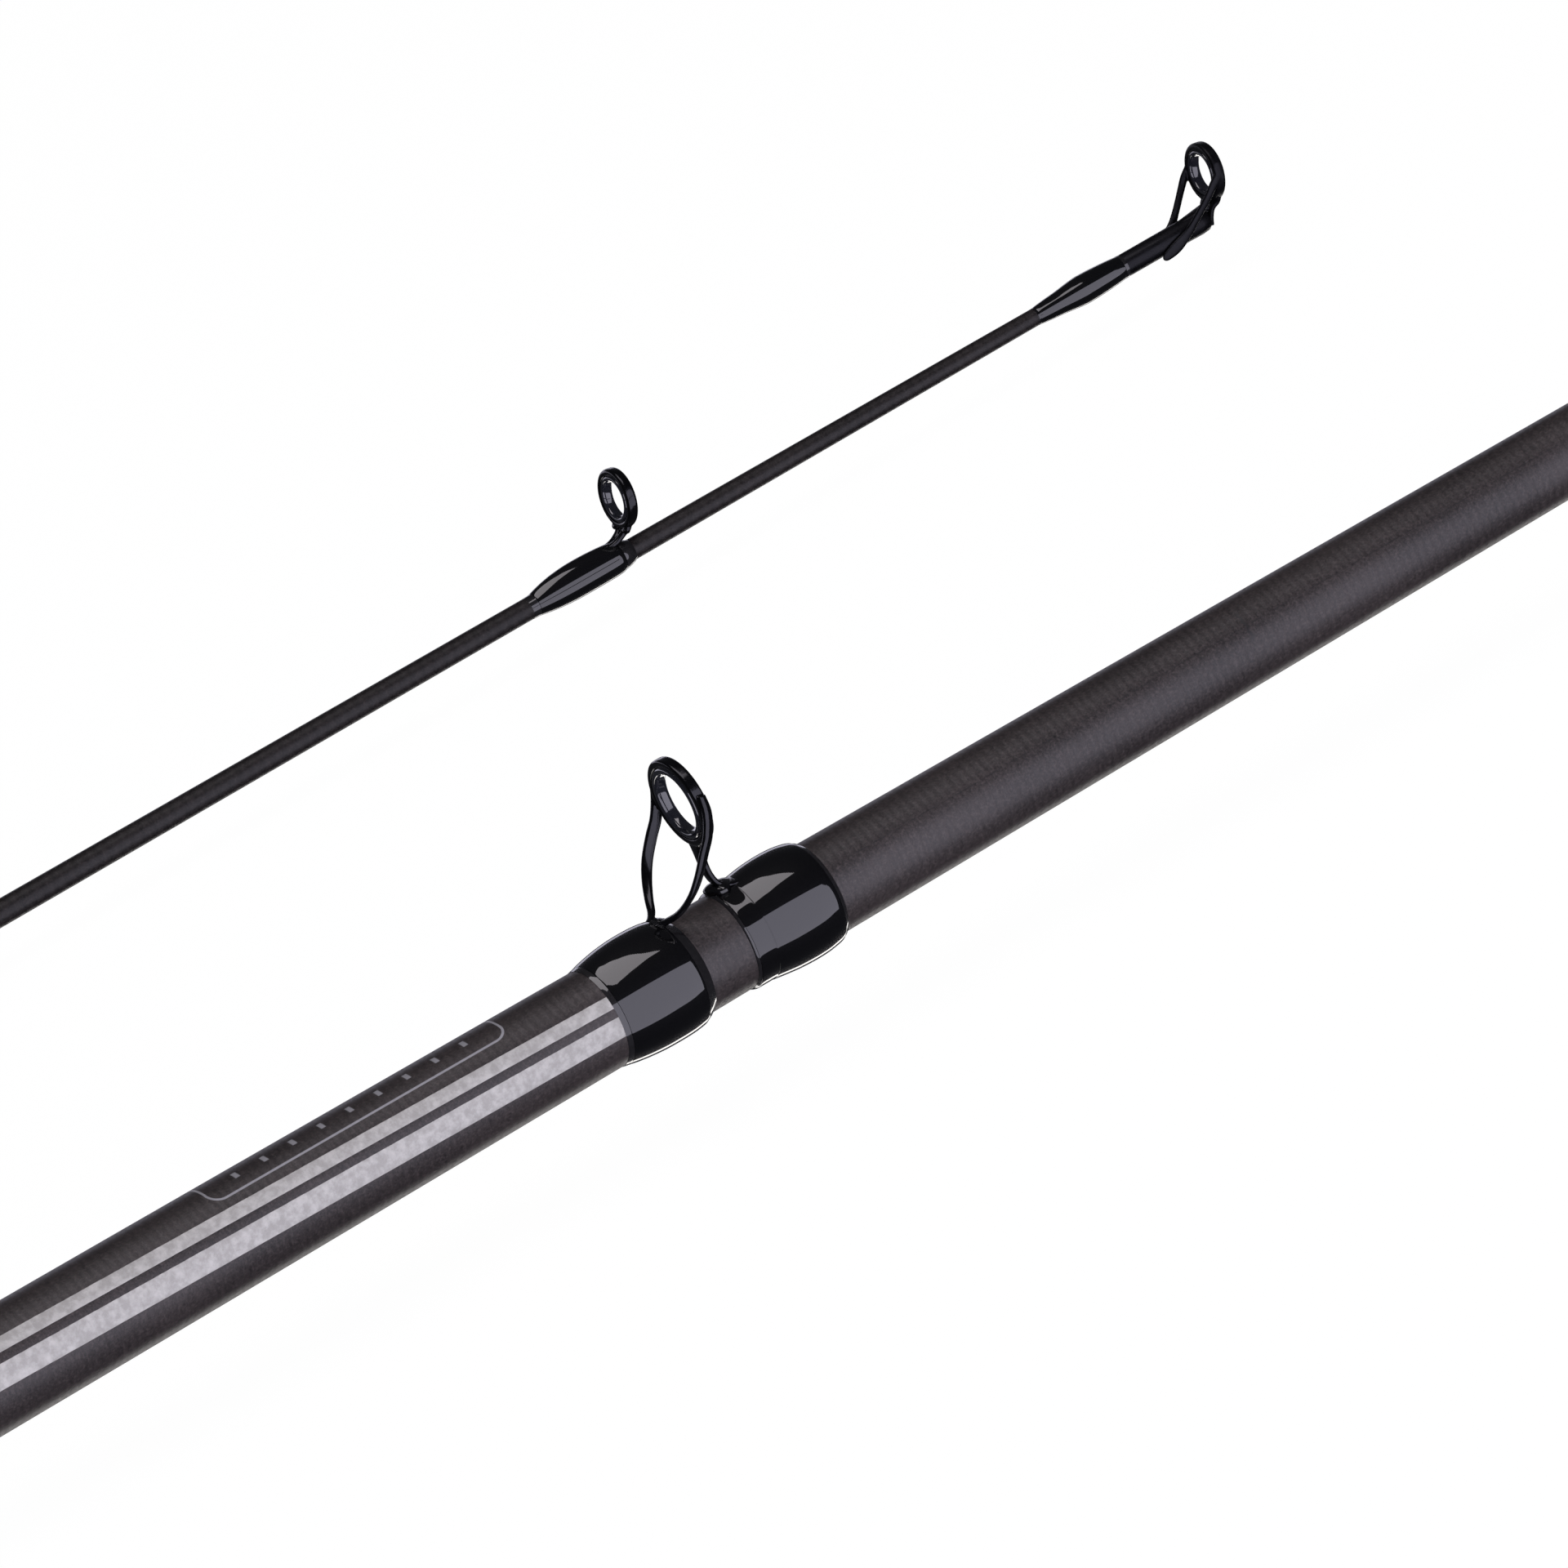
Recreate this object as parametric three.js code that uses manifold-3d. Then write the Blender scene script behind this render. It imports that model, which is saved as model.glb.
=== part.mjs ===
// A two-piece spinning rod with its sections lying side by side, in millimetres.
// +X runs along both sections towards the tip, +Z is up, through the guides and the reel seat deck.
// The origin is the centre of the butt cap's flat end, on the butt section's axis.
import * as THREE from "three";
import { mergeVertices } from "three/addons/utils/BufferGeometryUtils.js";
import Module from "manifold-3d";

const wasm = await Module();
wasm.setup();

const BUTT_SIDES = 20; // facets round each piece on the butt section, so that neighbours share their facets
const TIP_SIDES = 12; // the same for the tip section
const BAR_SIDES = 6; // facets round a wire or a strip
const RING_SIDES = 18; // facets round a guide's ring and its band
const GLUE_GAP = 0.03; // radial room between a glued or wrapped piece and what it is on
const SLIDE_GAP = 0.06; // radial room where a piece slides or turns
const COVER = 1; // how far a cutter reaches past the piece it cuts

// The butt section: outside diameter of the blank at stations along it.
const BUTT_START = 8; // the blank stands on the cap's floor
const BUTT_LENGTH = 1092;
const BUTT_STATIONS = [
  [BUTT_START, 14.0], [380, 13.7], [470, 13.5], [700, 13.0], [800, 12.4],
  [893, 11.4], [944, 10.7], [971, 10.05], [1063, 8.55], [BUTT_LENGTH, 8.1],
];
const BUTT_WALL = 1.0;

// The handle, from the butt end forward.
const CAP = { start: 0, end: 16, radius: 14.5, rim: 2.5 };
const BUTT_RING = { start: 16.1, end: 19, radius: 14.2 };
const BUTT_GRIP = { start: 19.1, end: 96, radius: 13.6 };
const BUTT_CHECK = { start: 96.1, end: 103, radius: 11.4 };
const MID_WRAP = { start: 104, end: 124, thick: 0.55 };
const REAR_CHECK = { start: 200, end: 206.9, radius: 11.4 };
const REAR_GRIP = { start: 207, end: 268, radius: 13.2 };
const SEAT = { start: 268.1, end: 396, radius: 10.0, bore: 7.6 };
const DECK = { start: 278.2, end: 352, z: 8.9 }; // the flat that a reel's foot lies on
const THREAD = { start: 354, end: 392, pitch: 2.0, ridges: 12, depth: 0.6 };
const ARBORS = [[272, 296], [370, 392]];
const FIXED_HOOD = { start: 268.1, end: 294, radius: 12.4 };
const SLIDING_HOOD = { start: 346, end: 364, radius: 12.4 };
const LOCK_NUT = { start: 364.2, end: 377, radius: 12.6, collar: 2.4, flutes: 24, fluteDepth: 0.55 };
const HOOD_HUMP = { radius: 9.6, centreZ: 6.4 };
const FOOT_POCKET = { halfWidth: 7.0, height: 4.5, depth: 16, slidingDepth: 12 };
const LINER_WALL = 0.8;
const FORE_GRIP = { start: 396.1, end: 462, radius: 13.4 };
const FORE_CHECK = { start: 462.1, end: 469, radius: 10.6 };
const KEEPER = { x: 492, wire: 0.55, height: 4.2, halfLength: 5.0, foot: 8.0, lift: 0.17, wrapThick: 1.75 };

// The first guide, a double-foot frame with a ceramic ring, measured from its ring plane.
const FIRST_GUIDE = {
  x: 959, height: 15.8, insertOuter: 4.1, insertHole: 3.2, insertDepth: 1.4,
  frameOuter: 4.75, frameDepth: 1.15, legWidth: 1.15, legThick: 0.85,
  rearWrap: [-16.8, -6.2], frontWrap: [-0.2, 10.9], wrapThick: 0.8, wrapLift: 0.35,
  rearFoot: [-14.8, -6.4], frontFoot: [1.4, 9.4], footWidth: 3.0, footThick: 0.6,
};

// The tip section, measured from its sleeve's open end.
const TIP_LENGTH = 1090;
const TIP_OFFSET = { x: 7.6, y: 124.5, z: -9.3 };
const TIP_STATIONS = [
  [52, 8.2], [300, 7.1], [560, 5.3], [800, 3.7], [932, 2.75], [1016, 2.3], [1067, 1.92], [1089, 1.65],
];
const TIP_WALL = 0.5;
const TIP_BORE_END = 700; // the blank is solid beyond this
const SLEEVE = { end: 74, outer: [5.15, 4.75], bore: [4.55, 4.18], stop: 50 };
const RUNNING_GUIDES = [
  // distance behind the tip, ring's outside radius, height over the axis, wrap length
  { back: 75.9, ring: 2.6, height: 5.85, wrap: 12.5 },
  { back: 166, ring: 2.6, height: 5.95, wrap: 12.5 },
  { back: 270, ring: 2.6, height: 6.3, wrap: 13 },
  { back: 392, ring: 2.75, height: 7.0, wrap: 13.5 },
  { back: 536, ring: 2.95, height: 8.0, wrap: 14 },
  { back: 706, ring: 3.3, height: 9.6, wrap: 15 },
  { back: 900, ring: 3.7, height: 11.8, wrap: 16 },
];
const RING_LEAN = 10; // degrees towards the tip
const HOLE_SHARE = 0.76; // a ceramic ring's hole, as a share of its outside
const BAND_WALL = 0.65; // the frame's band outside the ceramic ring
const SMALL_RING_DEPTH = 1.15; // along the line, for the tip section's rings
const SMALL_BAND_DEPTH = 0.95;
const WRAP_FRONT = 1.7; // a single-foot guide's wrap ends this far behind its ring plane
const TIPTOP = {
  tubeStart: 1072.8, tubeOuter: 1.27, wrapStart: 1067, wrapEnd: 1078.4,
  ringHeight: 4.72, ringAhead: 1.5, ring: 2.6, braceBack: 7.3,
};

// Materials
const charcoal = () => new THREE.MeshStandardMaterial({ color: 0x3a3b3d, roughness: 0.7 });
const black = () => new THREE.MeshStandardMaterial({ color: 0x0c0c0d, roughness: 0.25 });
const foam = () => new THREE.MeshStandardMaterial({ color: 0x1b1b1c, roughness: 0.95 });
const steel = () => new THREE.MeshStandardMaterial({ color: 0x2c2d2f, roughness: 0.35, metalness: 0.9 });
const ceramic = () => new THREE.MeshStandardMaterial({ color: 0x4c4e52, roughness: 0.2 });
const rubber = () => new THREE.MeshStandardMaterial({ color: 0x161617, roughness: 0.9 });

// Solids
function solidFrom(geometry) {
  const bare = geometry.clone();
  bare.deleteAttribute("normal");
  bare.deleteAttribute("uv");
  const merged = mergeVertices(bare, 1e-4);
  return new wasm.Manifold(
    new wasm.Mesh({
      numProp: 3,
      vertProperties: merged.attributes.position.array,
      triVerts: new Uint32Array(merged.index.array),
    }),
  );
}

function geometryFrom(solid) {
  const mesh = solid.getMesh();
  const geometry = new THREE.BufferGeometry();
  geometry.setAttribute("position", new THREE.BufferAttribute(new Float32Array(mesh.vertProperties), 3));
  geometry.setIndex(new THREE.BufferAttribute(new Uint32Array(mesh.triVerts), 1));
  return geometry;
}

function addAll(first, ...others) {
  return others.reduce((sum, solid) => sum.add(solid), first);
}

// A closed profile of [x, r] points, listed so that the solid faces out, turned about the X axis.
function turned(profile, sides = BUTT_SIDES) {
  const points = profile.map(([x, r]) => new THREE.Vector2(r, x));
  points.push(points[0].clone());
  return solidFrom(new THREE.LatheGeometry(points, sides).rotateZ(-Math.PI / 2));
}

// Outer points run forward and inner points run back, which closes a sleeve.
function sleeve(outer, inner, sides = BUTT_SIDES) {
  return turned([...outer, ...inner.slice().reverse()], sides);
}

function box(x0, x1, y0, y1, z0, z1) {
  const geometry = new THREE.BoxGeometry(x1 - x0, y1 - y0, z1 - z0);
  geometry.translate((x0 + x1) / 2, (y0 + y1) / 2, (z0 + z1) / 2);
  return solidFrom(geometry);
}

function rod(x0, x1, radius, y = 0, z = 0, sides = BUTT_SIDES) {
  const geometry = new THREE.CylinderGeometry(radius, radius, x1 - x0, sides).rotateZ(-Math.PI / 2);
  geometry.translate((x0 + x1) / 2, y, z);
  return solidFrom(geometry);
}

// A strip of a six-sided section swept along a smooth curve: width is measured along Y.
function bar(points, width, thick, steps = 10) {
  const path = new THREE.CatmullRomCurve3(points.map((p) => new THREE.Vector3(...p)), false, "centripetal");
  const normalAlongY = Math.abs(path.computeFrenetFrames(1).normals[0].y) > 0.7;
  const section = new THREE.Shape();
  for (let i = 0; i < BAR_SIDES; i += 1) {
    const angle = (Math.PI * 2 * i) / BAR_SIDES;
    const across = (Math.cos(angle) * width) / 2;
    const deep = (Math.sin(angle) * thick) / 2 / Math.sin(Math.PI / 3);
    section[i ? "lineTo" : "moveTo"](normalAlongY ? across : deep, normalAlongY ? deep : across);
  }
  section.closePath();
  return solidFrom(
    new THREE.ExtrudeGeometry(section, { steps, extrudePath: path, bevelEnabled: false, curveSegments: 1 }),
  );
}

// Outside radius of a blank at x, from its stations of diameters.
function radiusAt(stations, x) {
  for (let i = 1; i < stations.length; i += 1) {
    const [x0, d0] = stations[i - 1];
    const [x1, d1] = stations[i];
    if (x <= x1 || i === stations.length - 1) {
      return (d0 + ((d1 - d0) * (x - x0)) / (x1 - x0)) / 2;
    }
  }
  return stations[0][1] / 2;
}

// The points of the blank's surface from x0 to x1, moved out by gap.
function alongBlank(stations, x0, x1, gap) {
  const inside = stations.map(([x]) => x).filter((x) => x > x0 && x < x1);
  return [x0, ...inside, x1].map((x) => [x, radiusAt(stations, x) + gap]);
}

// Thread under clear resin: a spindle that thins at both ends.
function wrapAround(stations, x0, x1, thick) {
  const swell = [[0, 0.28], [0.1, 0.78], [0.3, 1.0], [0.7, 1.0], [0.9, 0.78], [1, 0.28]];
  const sides = stations === BUTT_STATIONS ? BUTT_SIDES : TIP_SIDES;
  const outer = swell.map(([t, share]) => {
    const x = x0 + (x1 - x0) * t;
    return [x, radiusAt(stations, x) + GLUE_GAP + thick * share];
  });
  return sleeve(outer, alongBlank(stations, x0, x1, GLUE_GAP), sides);
}

// A handle piece with a curved outside and a bore that fits the blank.
function handlePiece(place, shape) {
  const length = place.end - place.start;
  const outer = shape.map(([t, share]) => [place.start + length * t, place.radius * share]);
  return sleeve(outer, alongBlank(BUTT_STATIONS, place.start, place.end, GLUE_GAP));
}

const rodGroup = new THREE.Group();
rodGroup.name = "spinning_rod";

function addPart(name, solid, material, offset = [0, 0, 0]) {
  const mesh = new THREE.Mesh(geometryFrom(solid.translate(offset)), material);
  mesh.name = name;
  rodGroup.add(mesh);
}

// ---- Butt section: blank and handle ----
const buttInner = BUTT_STATIONS.map(([x, diameter]) => [x, diameter / 2 - BUTT_WALL]);
addPart("butt_blank", sleeve(alongBlank(BUTT_STATIONS, BUTT_START, BUTT_LENGTH, 0), buttInner), charcoal());

const capBore = radiusAt(BUTT_STATIONS, CAP.end) + GLUE_GAP;
addPart(
  "butt_cap",
  turned([
    [CAP.start, 0], [CAP.start, CAP.radius - CAP.rim], [CAP.start + 0.8, CAP.radius - 0.8],
    [CAP.start + 2.6, CAP.radius], [CAP.end - 1, CAP.radius], [CAP.end, CAP.radius - 0.5],
    [CAP.end, capBore], [BUTT_START - GLUE_GAP, capBore + 0.03], [BUTT_START - GLUE_GAP, 0],
  ]),
  rubber(),
);

const flatShape = [[0, 0.96], [0.15, 1], [0.85, 1], [1, 0.96]];
const gripShape = [
  [0, 0.93], [0.02, 0.97], [0.08, 1], [0.25, 0.985], [0.45, 0.95],
  [0.65, 0.935], [0.82, 0.93], [0.95, 0.9], [1, 0.84],
];
const gripShapeBack = gripShape.map(([t, share]) => [1 - t, share]).reverse();
const checkShape = [[0, 1], [0.3, 1], [0.62, 0.82], [0.9, 0.72], [1, 0.69]];
const checkShapeBack = checkShape.map(([t, share]) => [1 - t, share]).reverse();
addPart("butt_ring", handlePiece(BUTT_RING, flatShape), steel());
addPart("butt_grip", handlePiece(BUTT_GRIP, gripShape), foam());
addPart("butt_check", handlePiece(BUTT_CHECK, checkShape), steel());
addPart("mid_wrap", wrapAround(BUTT_STATIONS, MID_WRAP.start, MID_WRAP.end, MID_WRAP.thick), black());
addPart("rear_check", handlePiece(REAR_CHECK, checkShapeBack), steel());
addPart("rear_grip", handlePiece(REAR_GRIP, gripShapeBack), foam());
addPart("fore_grip", handlePiece(FORE_GRIP, gripShape), foam());
addPart("fore_check", handlePiece(FORE_CHECK, checkShape), steel());

// ---- Reel seat ----
function seatBody() {
  const outer = [[SEAT.start, SEAT.radius], [THREAD.start, SEAT.radius]];
  const step = (THREAD.end - THREAD.start) / THREAD.ridges;
  for (let i = 0; i < THREAD.ridges; i += 1) {
    outer.push([THREAD.start + step * (i + 0.5), SEAT.radius - THREAD.depth]);
    outer.push([THREAD.start + step * (i + 1), SEAT.radius]);
  }
  outer.push([SEAT.end, SEAT.radius]);
  const tube = sleeve(outer, [[SEAT.start, SEAT.bore], [SEAT.end, SEAT.bore]]);
  const reach = SEAT.radius + COVER;
  return tube.subtract(box(DECK.start, DECK.end, -reach, reach, DECK.z, reach));
}
addPart("reel_seat", seatBody(), black());

ARBORS.forEach(([x0, x1], i) => {
  const inner = alongBlank(BUTT_STATIONS, x0, x1, GLUE_GAP);
  const outer = [[x0, SEAT.bore - GLUE_GAP], [x1, SEAT.bore - GLUE_GAP]];
  addPart(i ? "front_arbor" : "rear_arbor", sleeve(outer, inner), foam());
});

// A hood's outside, from its closed end to its mouth, with the hump that holds a reel's foot.
function hoodOuter(x0, x1) {
  return addAll(rod(x0, x1, FIXED_HOOD.radius), rod(x0, x1, HOOD_HUMP.radius, 0, HOOD_HUMP.centreZ));
}

// The slot for a reel's foot, open at the mouth.
function footPocket(x0, x1, grow = 0) {
  const half = FOOT_POCKET.halfWidth + grow;
  return box(x0, x1, -half, half, DECK.z - COVER, DECK.z + FOOT_POCKET.height + grow);
}

const seatBore = rod(SEAT.start - COVER, SEAT.end, SEAT.radius + SLIDE_GAP);
// Wider, so that the nut's flat facets clear the seat's corners at every angle.
const turningBore = rod(SEAT.start, SEAT.end, (SEAT.radius + SLIDE_GAP) / Math.cos(Math.PI / BUTT_SIDES));
addPart(
  "fixed_hood",
  hoodOuter(FIXED_HOOD.start, FIXED_HOOD.end)
    .subtract(seatBore)
    .subtract(footPocket(FIXED_HOOD.end - FOOT_POCKET.depth, FIXED_HOOD.end + COVER)),
  steel(),
);

const slidingPocketEnd = SLIDING_HOOD.start + FOOT_POCKET.slidingDepth;
const linerPocket = footPocket(SLIDING_HOOD.start - COVER, slidingPocketEnd);
addPart(
  "sliding_hood",
  hoodOuter(SLIDING_HOOD.start, SLIDING_HOOD.end)
    .subtract(seatBore)
    .subtract(footPocket(SLIDING_HOOD.start - COVER, slidingPocketEnd + LINER_WALL, LINER_WALL)),
  steel(),
);
const linerBlock = box(
  SLIDING_HOOD.start,
  slidingPocketEnd + LINER_WALL - GLUE_GAP,
  -FOOT_POCKET.halfWidth - LINER_WALL + GLUE_GAP,
  FOOT_POCKET.halfWidth + LINER_WALL - GLUE_GAP,
  DECK.z - COVER,
  DECK.z + FOOT_POCKET.height + LINER_WALL - GLUE_GAP,
);
addPart("hood_liner", linerBlock.subtract(seatBore).subtract(linerPocket), rubber());

function lockNut() {
  const length = LOCK_NUT.end - LOCK_NUT.start;
  const shape = new THREE.Shape();
  for (let i = 0; i < LOCK_NUT.flutes * 2; i += 1) {
    const angle = (Math.PI * i) / LOCK_NUT.flutes;
    const r = i % 2 ? LOCK_NUT.radius - LOCK_NUT.fluteDepth : LOCK_NUT.radius;
    shape[i ? "lineTo" : "moveTo"](r * Math.cos(angle), r * Math.sin(angle));
  }
  shape.closePath();
  const block = new THREE.ExtrudeGeometry(shape, { depth: length, bevelEnabled: false, curveSegments: 1 });
  block.rotateY(Math.PI / 2).translate(LOCK_NUT.start, 0, 0);
  const collar = rod(LOCK_NUT.start, LOCK_NUT.start + LOCK_NUT.collar, LOCK_NUT.radius);
  return solidFrom(block).add(collar).subtract(turningBore);
}
addPart("lock_nut", lockNut(), black());

// ---- Hook keeper: a wire loop with both feet under one wrap ----
function hookKeeper() {
  const foot = radiusAt(BUTT_STATIONS, KEEPER.x) + KEEPER.wire + GLUE_GAP + KEEPER.lift;
  const top = foot + KEEPER.height;
  const back = KEEPER.x - KEEPER.halfLength;
  const front = KEEPER.x + KEEPER.halfLength;
  const loop = [
    [back - KEEPER.foot, 0, foot], [back - 1.5, 0, foot], [back + 0.4, 0, foot + 0.7],
    [KEEPER.x - 2.6, 0, top - 0.5], [KEEPER.x, 0, top], [KEEPER.x + 2.6, 0, top - 0.5],
    [front - 0.4, 0, foot + 0.7], [front + 1.5, 0, foot], [front + KEEPER.foot, 0, foot],
  ];
  return bar(loop, KEEPER.wire * 2, KEEPER.wire * 2, 18);
}
addPart("hook_keeper", hookKeeper(), steel());

// The room a foot takes under its wrap: thin thread still covers it.
function footRoom(x0, x1, halfWidth, z0, z1) {
  return box(x0, x1, -halfWidth - SLIDE_GAP, halfWidth + SLIDE_GAP, z0 - COVER, z1 + SLIDE_GAP);
}

[-1, 1].forEach((side) => {
  const inner = KEEPER.x + side * (KEEPER.halfLength + 1.2);
  const outer = KEEPER.x + side * (KEEPER.halfLength + KEEPER.foot + 2.5);
  const x0 = Math.min(inner, outer);
  const x1 = Math.max(inner, outer);
  const surface = radiusAt(BUTT_STATIONS, KEEPER.x);
  const wireTop = surface + KEEPER.wire * 2 + GLUE_GAP + KEEPER.lift + 0.1;
  const foot = KEEPER.x + side * (KEEPER.halfLength + KEEPER.foot + 0.3);
  const mouth = inner - side;
  const room = footRoom(Math.min(foot, mouth), Math.max(foot, mouth), KEEPER.wire + 0.05, surface, wireTop);
  const wrap = wrapAround(BUTT_STATIONS, x0, x1, KEEPER.wrapThick).subtract(room);
  addPart(side < 0 ? "keeper_rear_wrap" : "keeper_front_wrap", wrap, black());
});

// ---- Guides ----
// A ceramic ring with rounded faces, centred on the origin, about the X axis.
function insertRing(outer, hole, depth) {
  const half = depth / 2;
  const mid = (outer + hole) / 2;
  const lip = 0.25;
  return turned([
    [-half, mid], [-half + lip, outer], [half - lip, outer],
    [half, mid], [half * 0.4, hole], [-half * 0.4, hole],
  ], RING_SIDES);
}

// The frame's band round the ceramic ring.
function frameBand(outer, inner, depth) {
  const half = depth / 2;
  const edge = outer - 0.1;
  return turned([[-half, inner], [-half, edge], [0, outer], [half, edge], [half, inner]], RING_SIDES);
}

// The first guide's frame: a front leg under the ring, and two side legs that meet at a rear foot.
function firstGuideFrame() {
  const g = FIRST_GUIDE;
  const surface = radiusAt(BUTT_STATIONS, g.x) + GLUE_GAP;
  const band = frameBand(g.frameOuter, g.insertOuter + GLUE_GAP, g.frameDepth).translate([0, 0, g.height]);
  const frontFoot = surface + g.footThick / 2;
  const leg = bar(
    [
      [0, 0, g.height - g.frameOuter + 0.2],
      [0, 0, surface + 3.4],
      [0.3, 0, surface + 1.6],
      [1.1, 0, frontFoot + 0.5],
      [2.4, 0, frontFoot + 0.12],
      [4.6, 0, frontFoot + 0.05],
      [g.frontFoot[1], 0, frontFoot],
    ],
    g.footWidth * 0.72,
    g.footThick,
    12,
  );
  const rearSurface = radiusAt(BUTT_STATIONS, g.x + g.rearFoot[1]) + GLUE_GAP;
  const rearFoot = rearSurface + g.footThick / 2 + 0.1;
  const sideLegs = [-1, 1].map((side) =>
    bar(
      [
        [0, side * (g.frameOuter + 0.17), g.height + 0.2],
        [-1.0, side * (g.frameOuter + 0.4), g.height - 3.4],
        [-3.1, side * (g.frameOuter + 0.3), rearSurface + 4.5],
        [-4.9, side * 3.6, rearSurface + 1.9],
        [-6.1, side * 2.0, rearFoot + 0.6],
        [-8.2, side * 0.6, rearFoot],
      ],
      g.legWidth,
      g.legThick,
      9,
    ),
  );
  const rearPlate = bar(
    [[g.rearFoot[1] - 0.6, 0, rearFoot], [g.rearFoot[0], 0, rearFoot + 0.1]],
    g.footWidth,
    g.footThick,
    2,
  );
  return addAll(band, leg, ...sideLegs, rearPlate);
}
addPart("first_guide_frame", firstGuideFrame(), steel(), [FIRST_GUIDE.x, 0, 0]);
addPart(
  "first_guide_ring",
  insertRing(FIRST_GUIDE.insertOuter, FIRST_GUIDE.insertHole, FIRST_GUIDE.insertDepth),
  ceramic(),
  [FIRST_GUIDE.x, 0, FIRST_GUIDE.height],
);

// foot is the plate's room under the thread; root is where a leg comes up through it, with its half width.
function firstGuideWrap(span, foot, root) {
  const g = FIRST_GUIDE;
  const [x0, x1] = span.map((x) => g.x + x);
  const wrap = addAll(
    wrapAround(BUTT_STATIONS, x0, x1, g.wrapThick),
    wrapAround(BUTT_STATIONS, x0 + 0.4, x1 - 0.4, g.wrapThick).translate([0, 0, g.wrapLift]),
  ).subtract(sleeve(
    alongBlank(BUTT_STATIONS, x0 - 1, x1 + 1, GLUE_GAP),
    [[x0 - 1, 1], [x1 + 1, 1]],
  ));
  const surface = radiusAt(BUTT_STATIONS, g.x + (span[0] < 0 ? span[0] : span[1]));
  const top = radiusAt(BUTT_STATIONS, g.x + (span[0] < 0 ? span[1] : span[0])) + g.footThick + 0.36;
  const legs = footRoom(g.x + root[0], g.x + root[1], root[2], surface - 1, top + 3);
  const plates = footRoom(g.x + foot[0], g.x + foot[1], g.footWidth / 2, surface - 1, top);
  return wrap.subtract(plates).subtract(legs);
}
addPart("first_guide_rear_wrap", firstGuideWrap(FIRST_GUIDE.rearWrap, [-15.3, -4], [-8.2, -3, 3.2]), black());
addPart("first_guide_front_wrap", firstGuideWrap(FIRST_GUIDE.frontWrap, [-1, 9.9], [-1, 2.2, 1.6]), black());

// ---- Tip section ----
const tipAt = [TIP_OFFSET.x, TIP_OFFSET.y, TIP_OFFSET.z];
const tipOuter = alongBlank(TIP_STATIONS, TIP_STATIONS[0][0], TIP_LENGTH - 1, 0);
const tipInner = alongBlank(TIP_STATIONS, TIP_STATIONS[0][0], TIP_BORE_END, -TIP_WALL);
addPart(
  "tip_blank",
  turned([...tipOuter, [TIP_LENGTH - 1, 0], [TIP_BORE_END, 0], ...tipInner.reverse()], TIP_SIDES),
  charcoal(),
  tipAt,
);

const sleeveEndBore = radiusAt(TIP_STATIONS, SLEEVE.end) + GLUE_GAP;
const sleeveStopBore = radiusAt(TIP_STATIONS, SLEEVE.stop) + GLUE_GAP;
addPart(
  "ferrule_sleeve",
  turned([
    [0, SLEEVE.outer[0] - 0.15], [0.3, SLEEVE.outer[0]], [SLEEVE.end - 6, SLEEVE.outer[1]],
    [SLEEVE.end, sleeveEndBore + 0.15], [SLEEVE.end, sleeveEndBore], [SLEEVE.stop, sleeveStopBore],
    [SLEEVE.stop, SLEEVE.bore[1]], [0, SLEEVE.bore[0]],
  ], TIP_SIDES),
  charcoal(),
  tipAt,
);

// A running guide: a band on a forked neck that runs back to one foot, which lies on the blank.
function runningGuide(index, g) {
  const centre = TIP_LENGTH - g.back;
  const band = g.ring + BAND_WALL;
  const lean = (solid) => solid.rotate([0, RING_LEAN, 0]).translate([centre, 0, g.height]);
  const frontX = centre - WRAP_FRONT;
  const rearX = frontX - g.wrap;
  const surface = radiusAt(TIP_STATIONS, frontX) + GLUE_GAP;
  const rearSurface = radiusAt(TIP_STATIONS, rearX) + GLUE_GAP;
  const footEnd = rearX + 1.6;
  const thick = 0.5;
  const foot = rearSurface + thick / 2 + 0.03;
  const rise = g.height - surface;
  const necks = [-1, 1].map((side) =>
    bar(
      [
        [centre - 0.02 * rise, side * band * 0.62, g.height - band * 0.72],
        [centre - 0.25 * rise, side * band * 0.34, surface + rise * 0.24],
        [frontX - 0.4, side * 0.3, foot + 0.25],
        [frontX - 2.2, side * 0.12, foot],
      ],
      0.85,
      0.6,
      5,
    ),
  );
  const plate = bar([[frontX - 0.6, 0, foot + 0.02], [footEnd, 0, foot]], 1.15, thick, 1);
  const frame = addAll(lean(frameBand(band, g.ring + GLUE_GAP, SMALL_BAND_DEPTH)), ...necks, plate);
  addPart(`guide_${index}_frame`, frame, steel(), tipAt);
  const ring = lean(insertRing(g.ring, g.ring * HOLE_SHARE, SMALL_RING_DEPTH));
  addPart(`guide_${index}_ring`, ring, ceramic(), tipAt);
  const room = footRoom(footEnd - 0.1, frontX + 1, 0.72, rearSurface - 1, foot + thick / 2 + 0.25);
  const wrap = wrapAround(TIP_STATIONS, rearX, frontX, 1.15).subtract(room);
  addPart(`guide_${index}_wrap`, wrap, black(), tipAt);
}
RUNNING_GUIDES.forEach((g, i) => runningGuide(i + 1, g));

// ---- Tip-top: a tube over the blank's end, a forked frame with a neck plate, and its ring ----
function tipTopTube() {
  const bore = alongBlank(TIP_STATIONS, TIPTOP.tubeStart, TIP_LENGTH - 1 + GLUE_GAP, GLUE_GAP);
  return turned([
    [TIPTOP.tubeStart, TIPTOP.tubeOuter], [TIP_LENGTH - 0.2, TIPTOP.tubeOuter],
    [TIP_LENGTH, TIPTOP.tubeOuter - 0.2],
    [TIP_LENGTH, 0], [TIP_LENGTH - 1 + GLUE_GAP, 0], ...bore.reverse(),
  ], TIP_SIDES);
}
addPart("tiptop_tube", tipTopTube(), steel(), tipAt);

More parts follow.
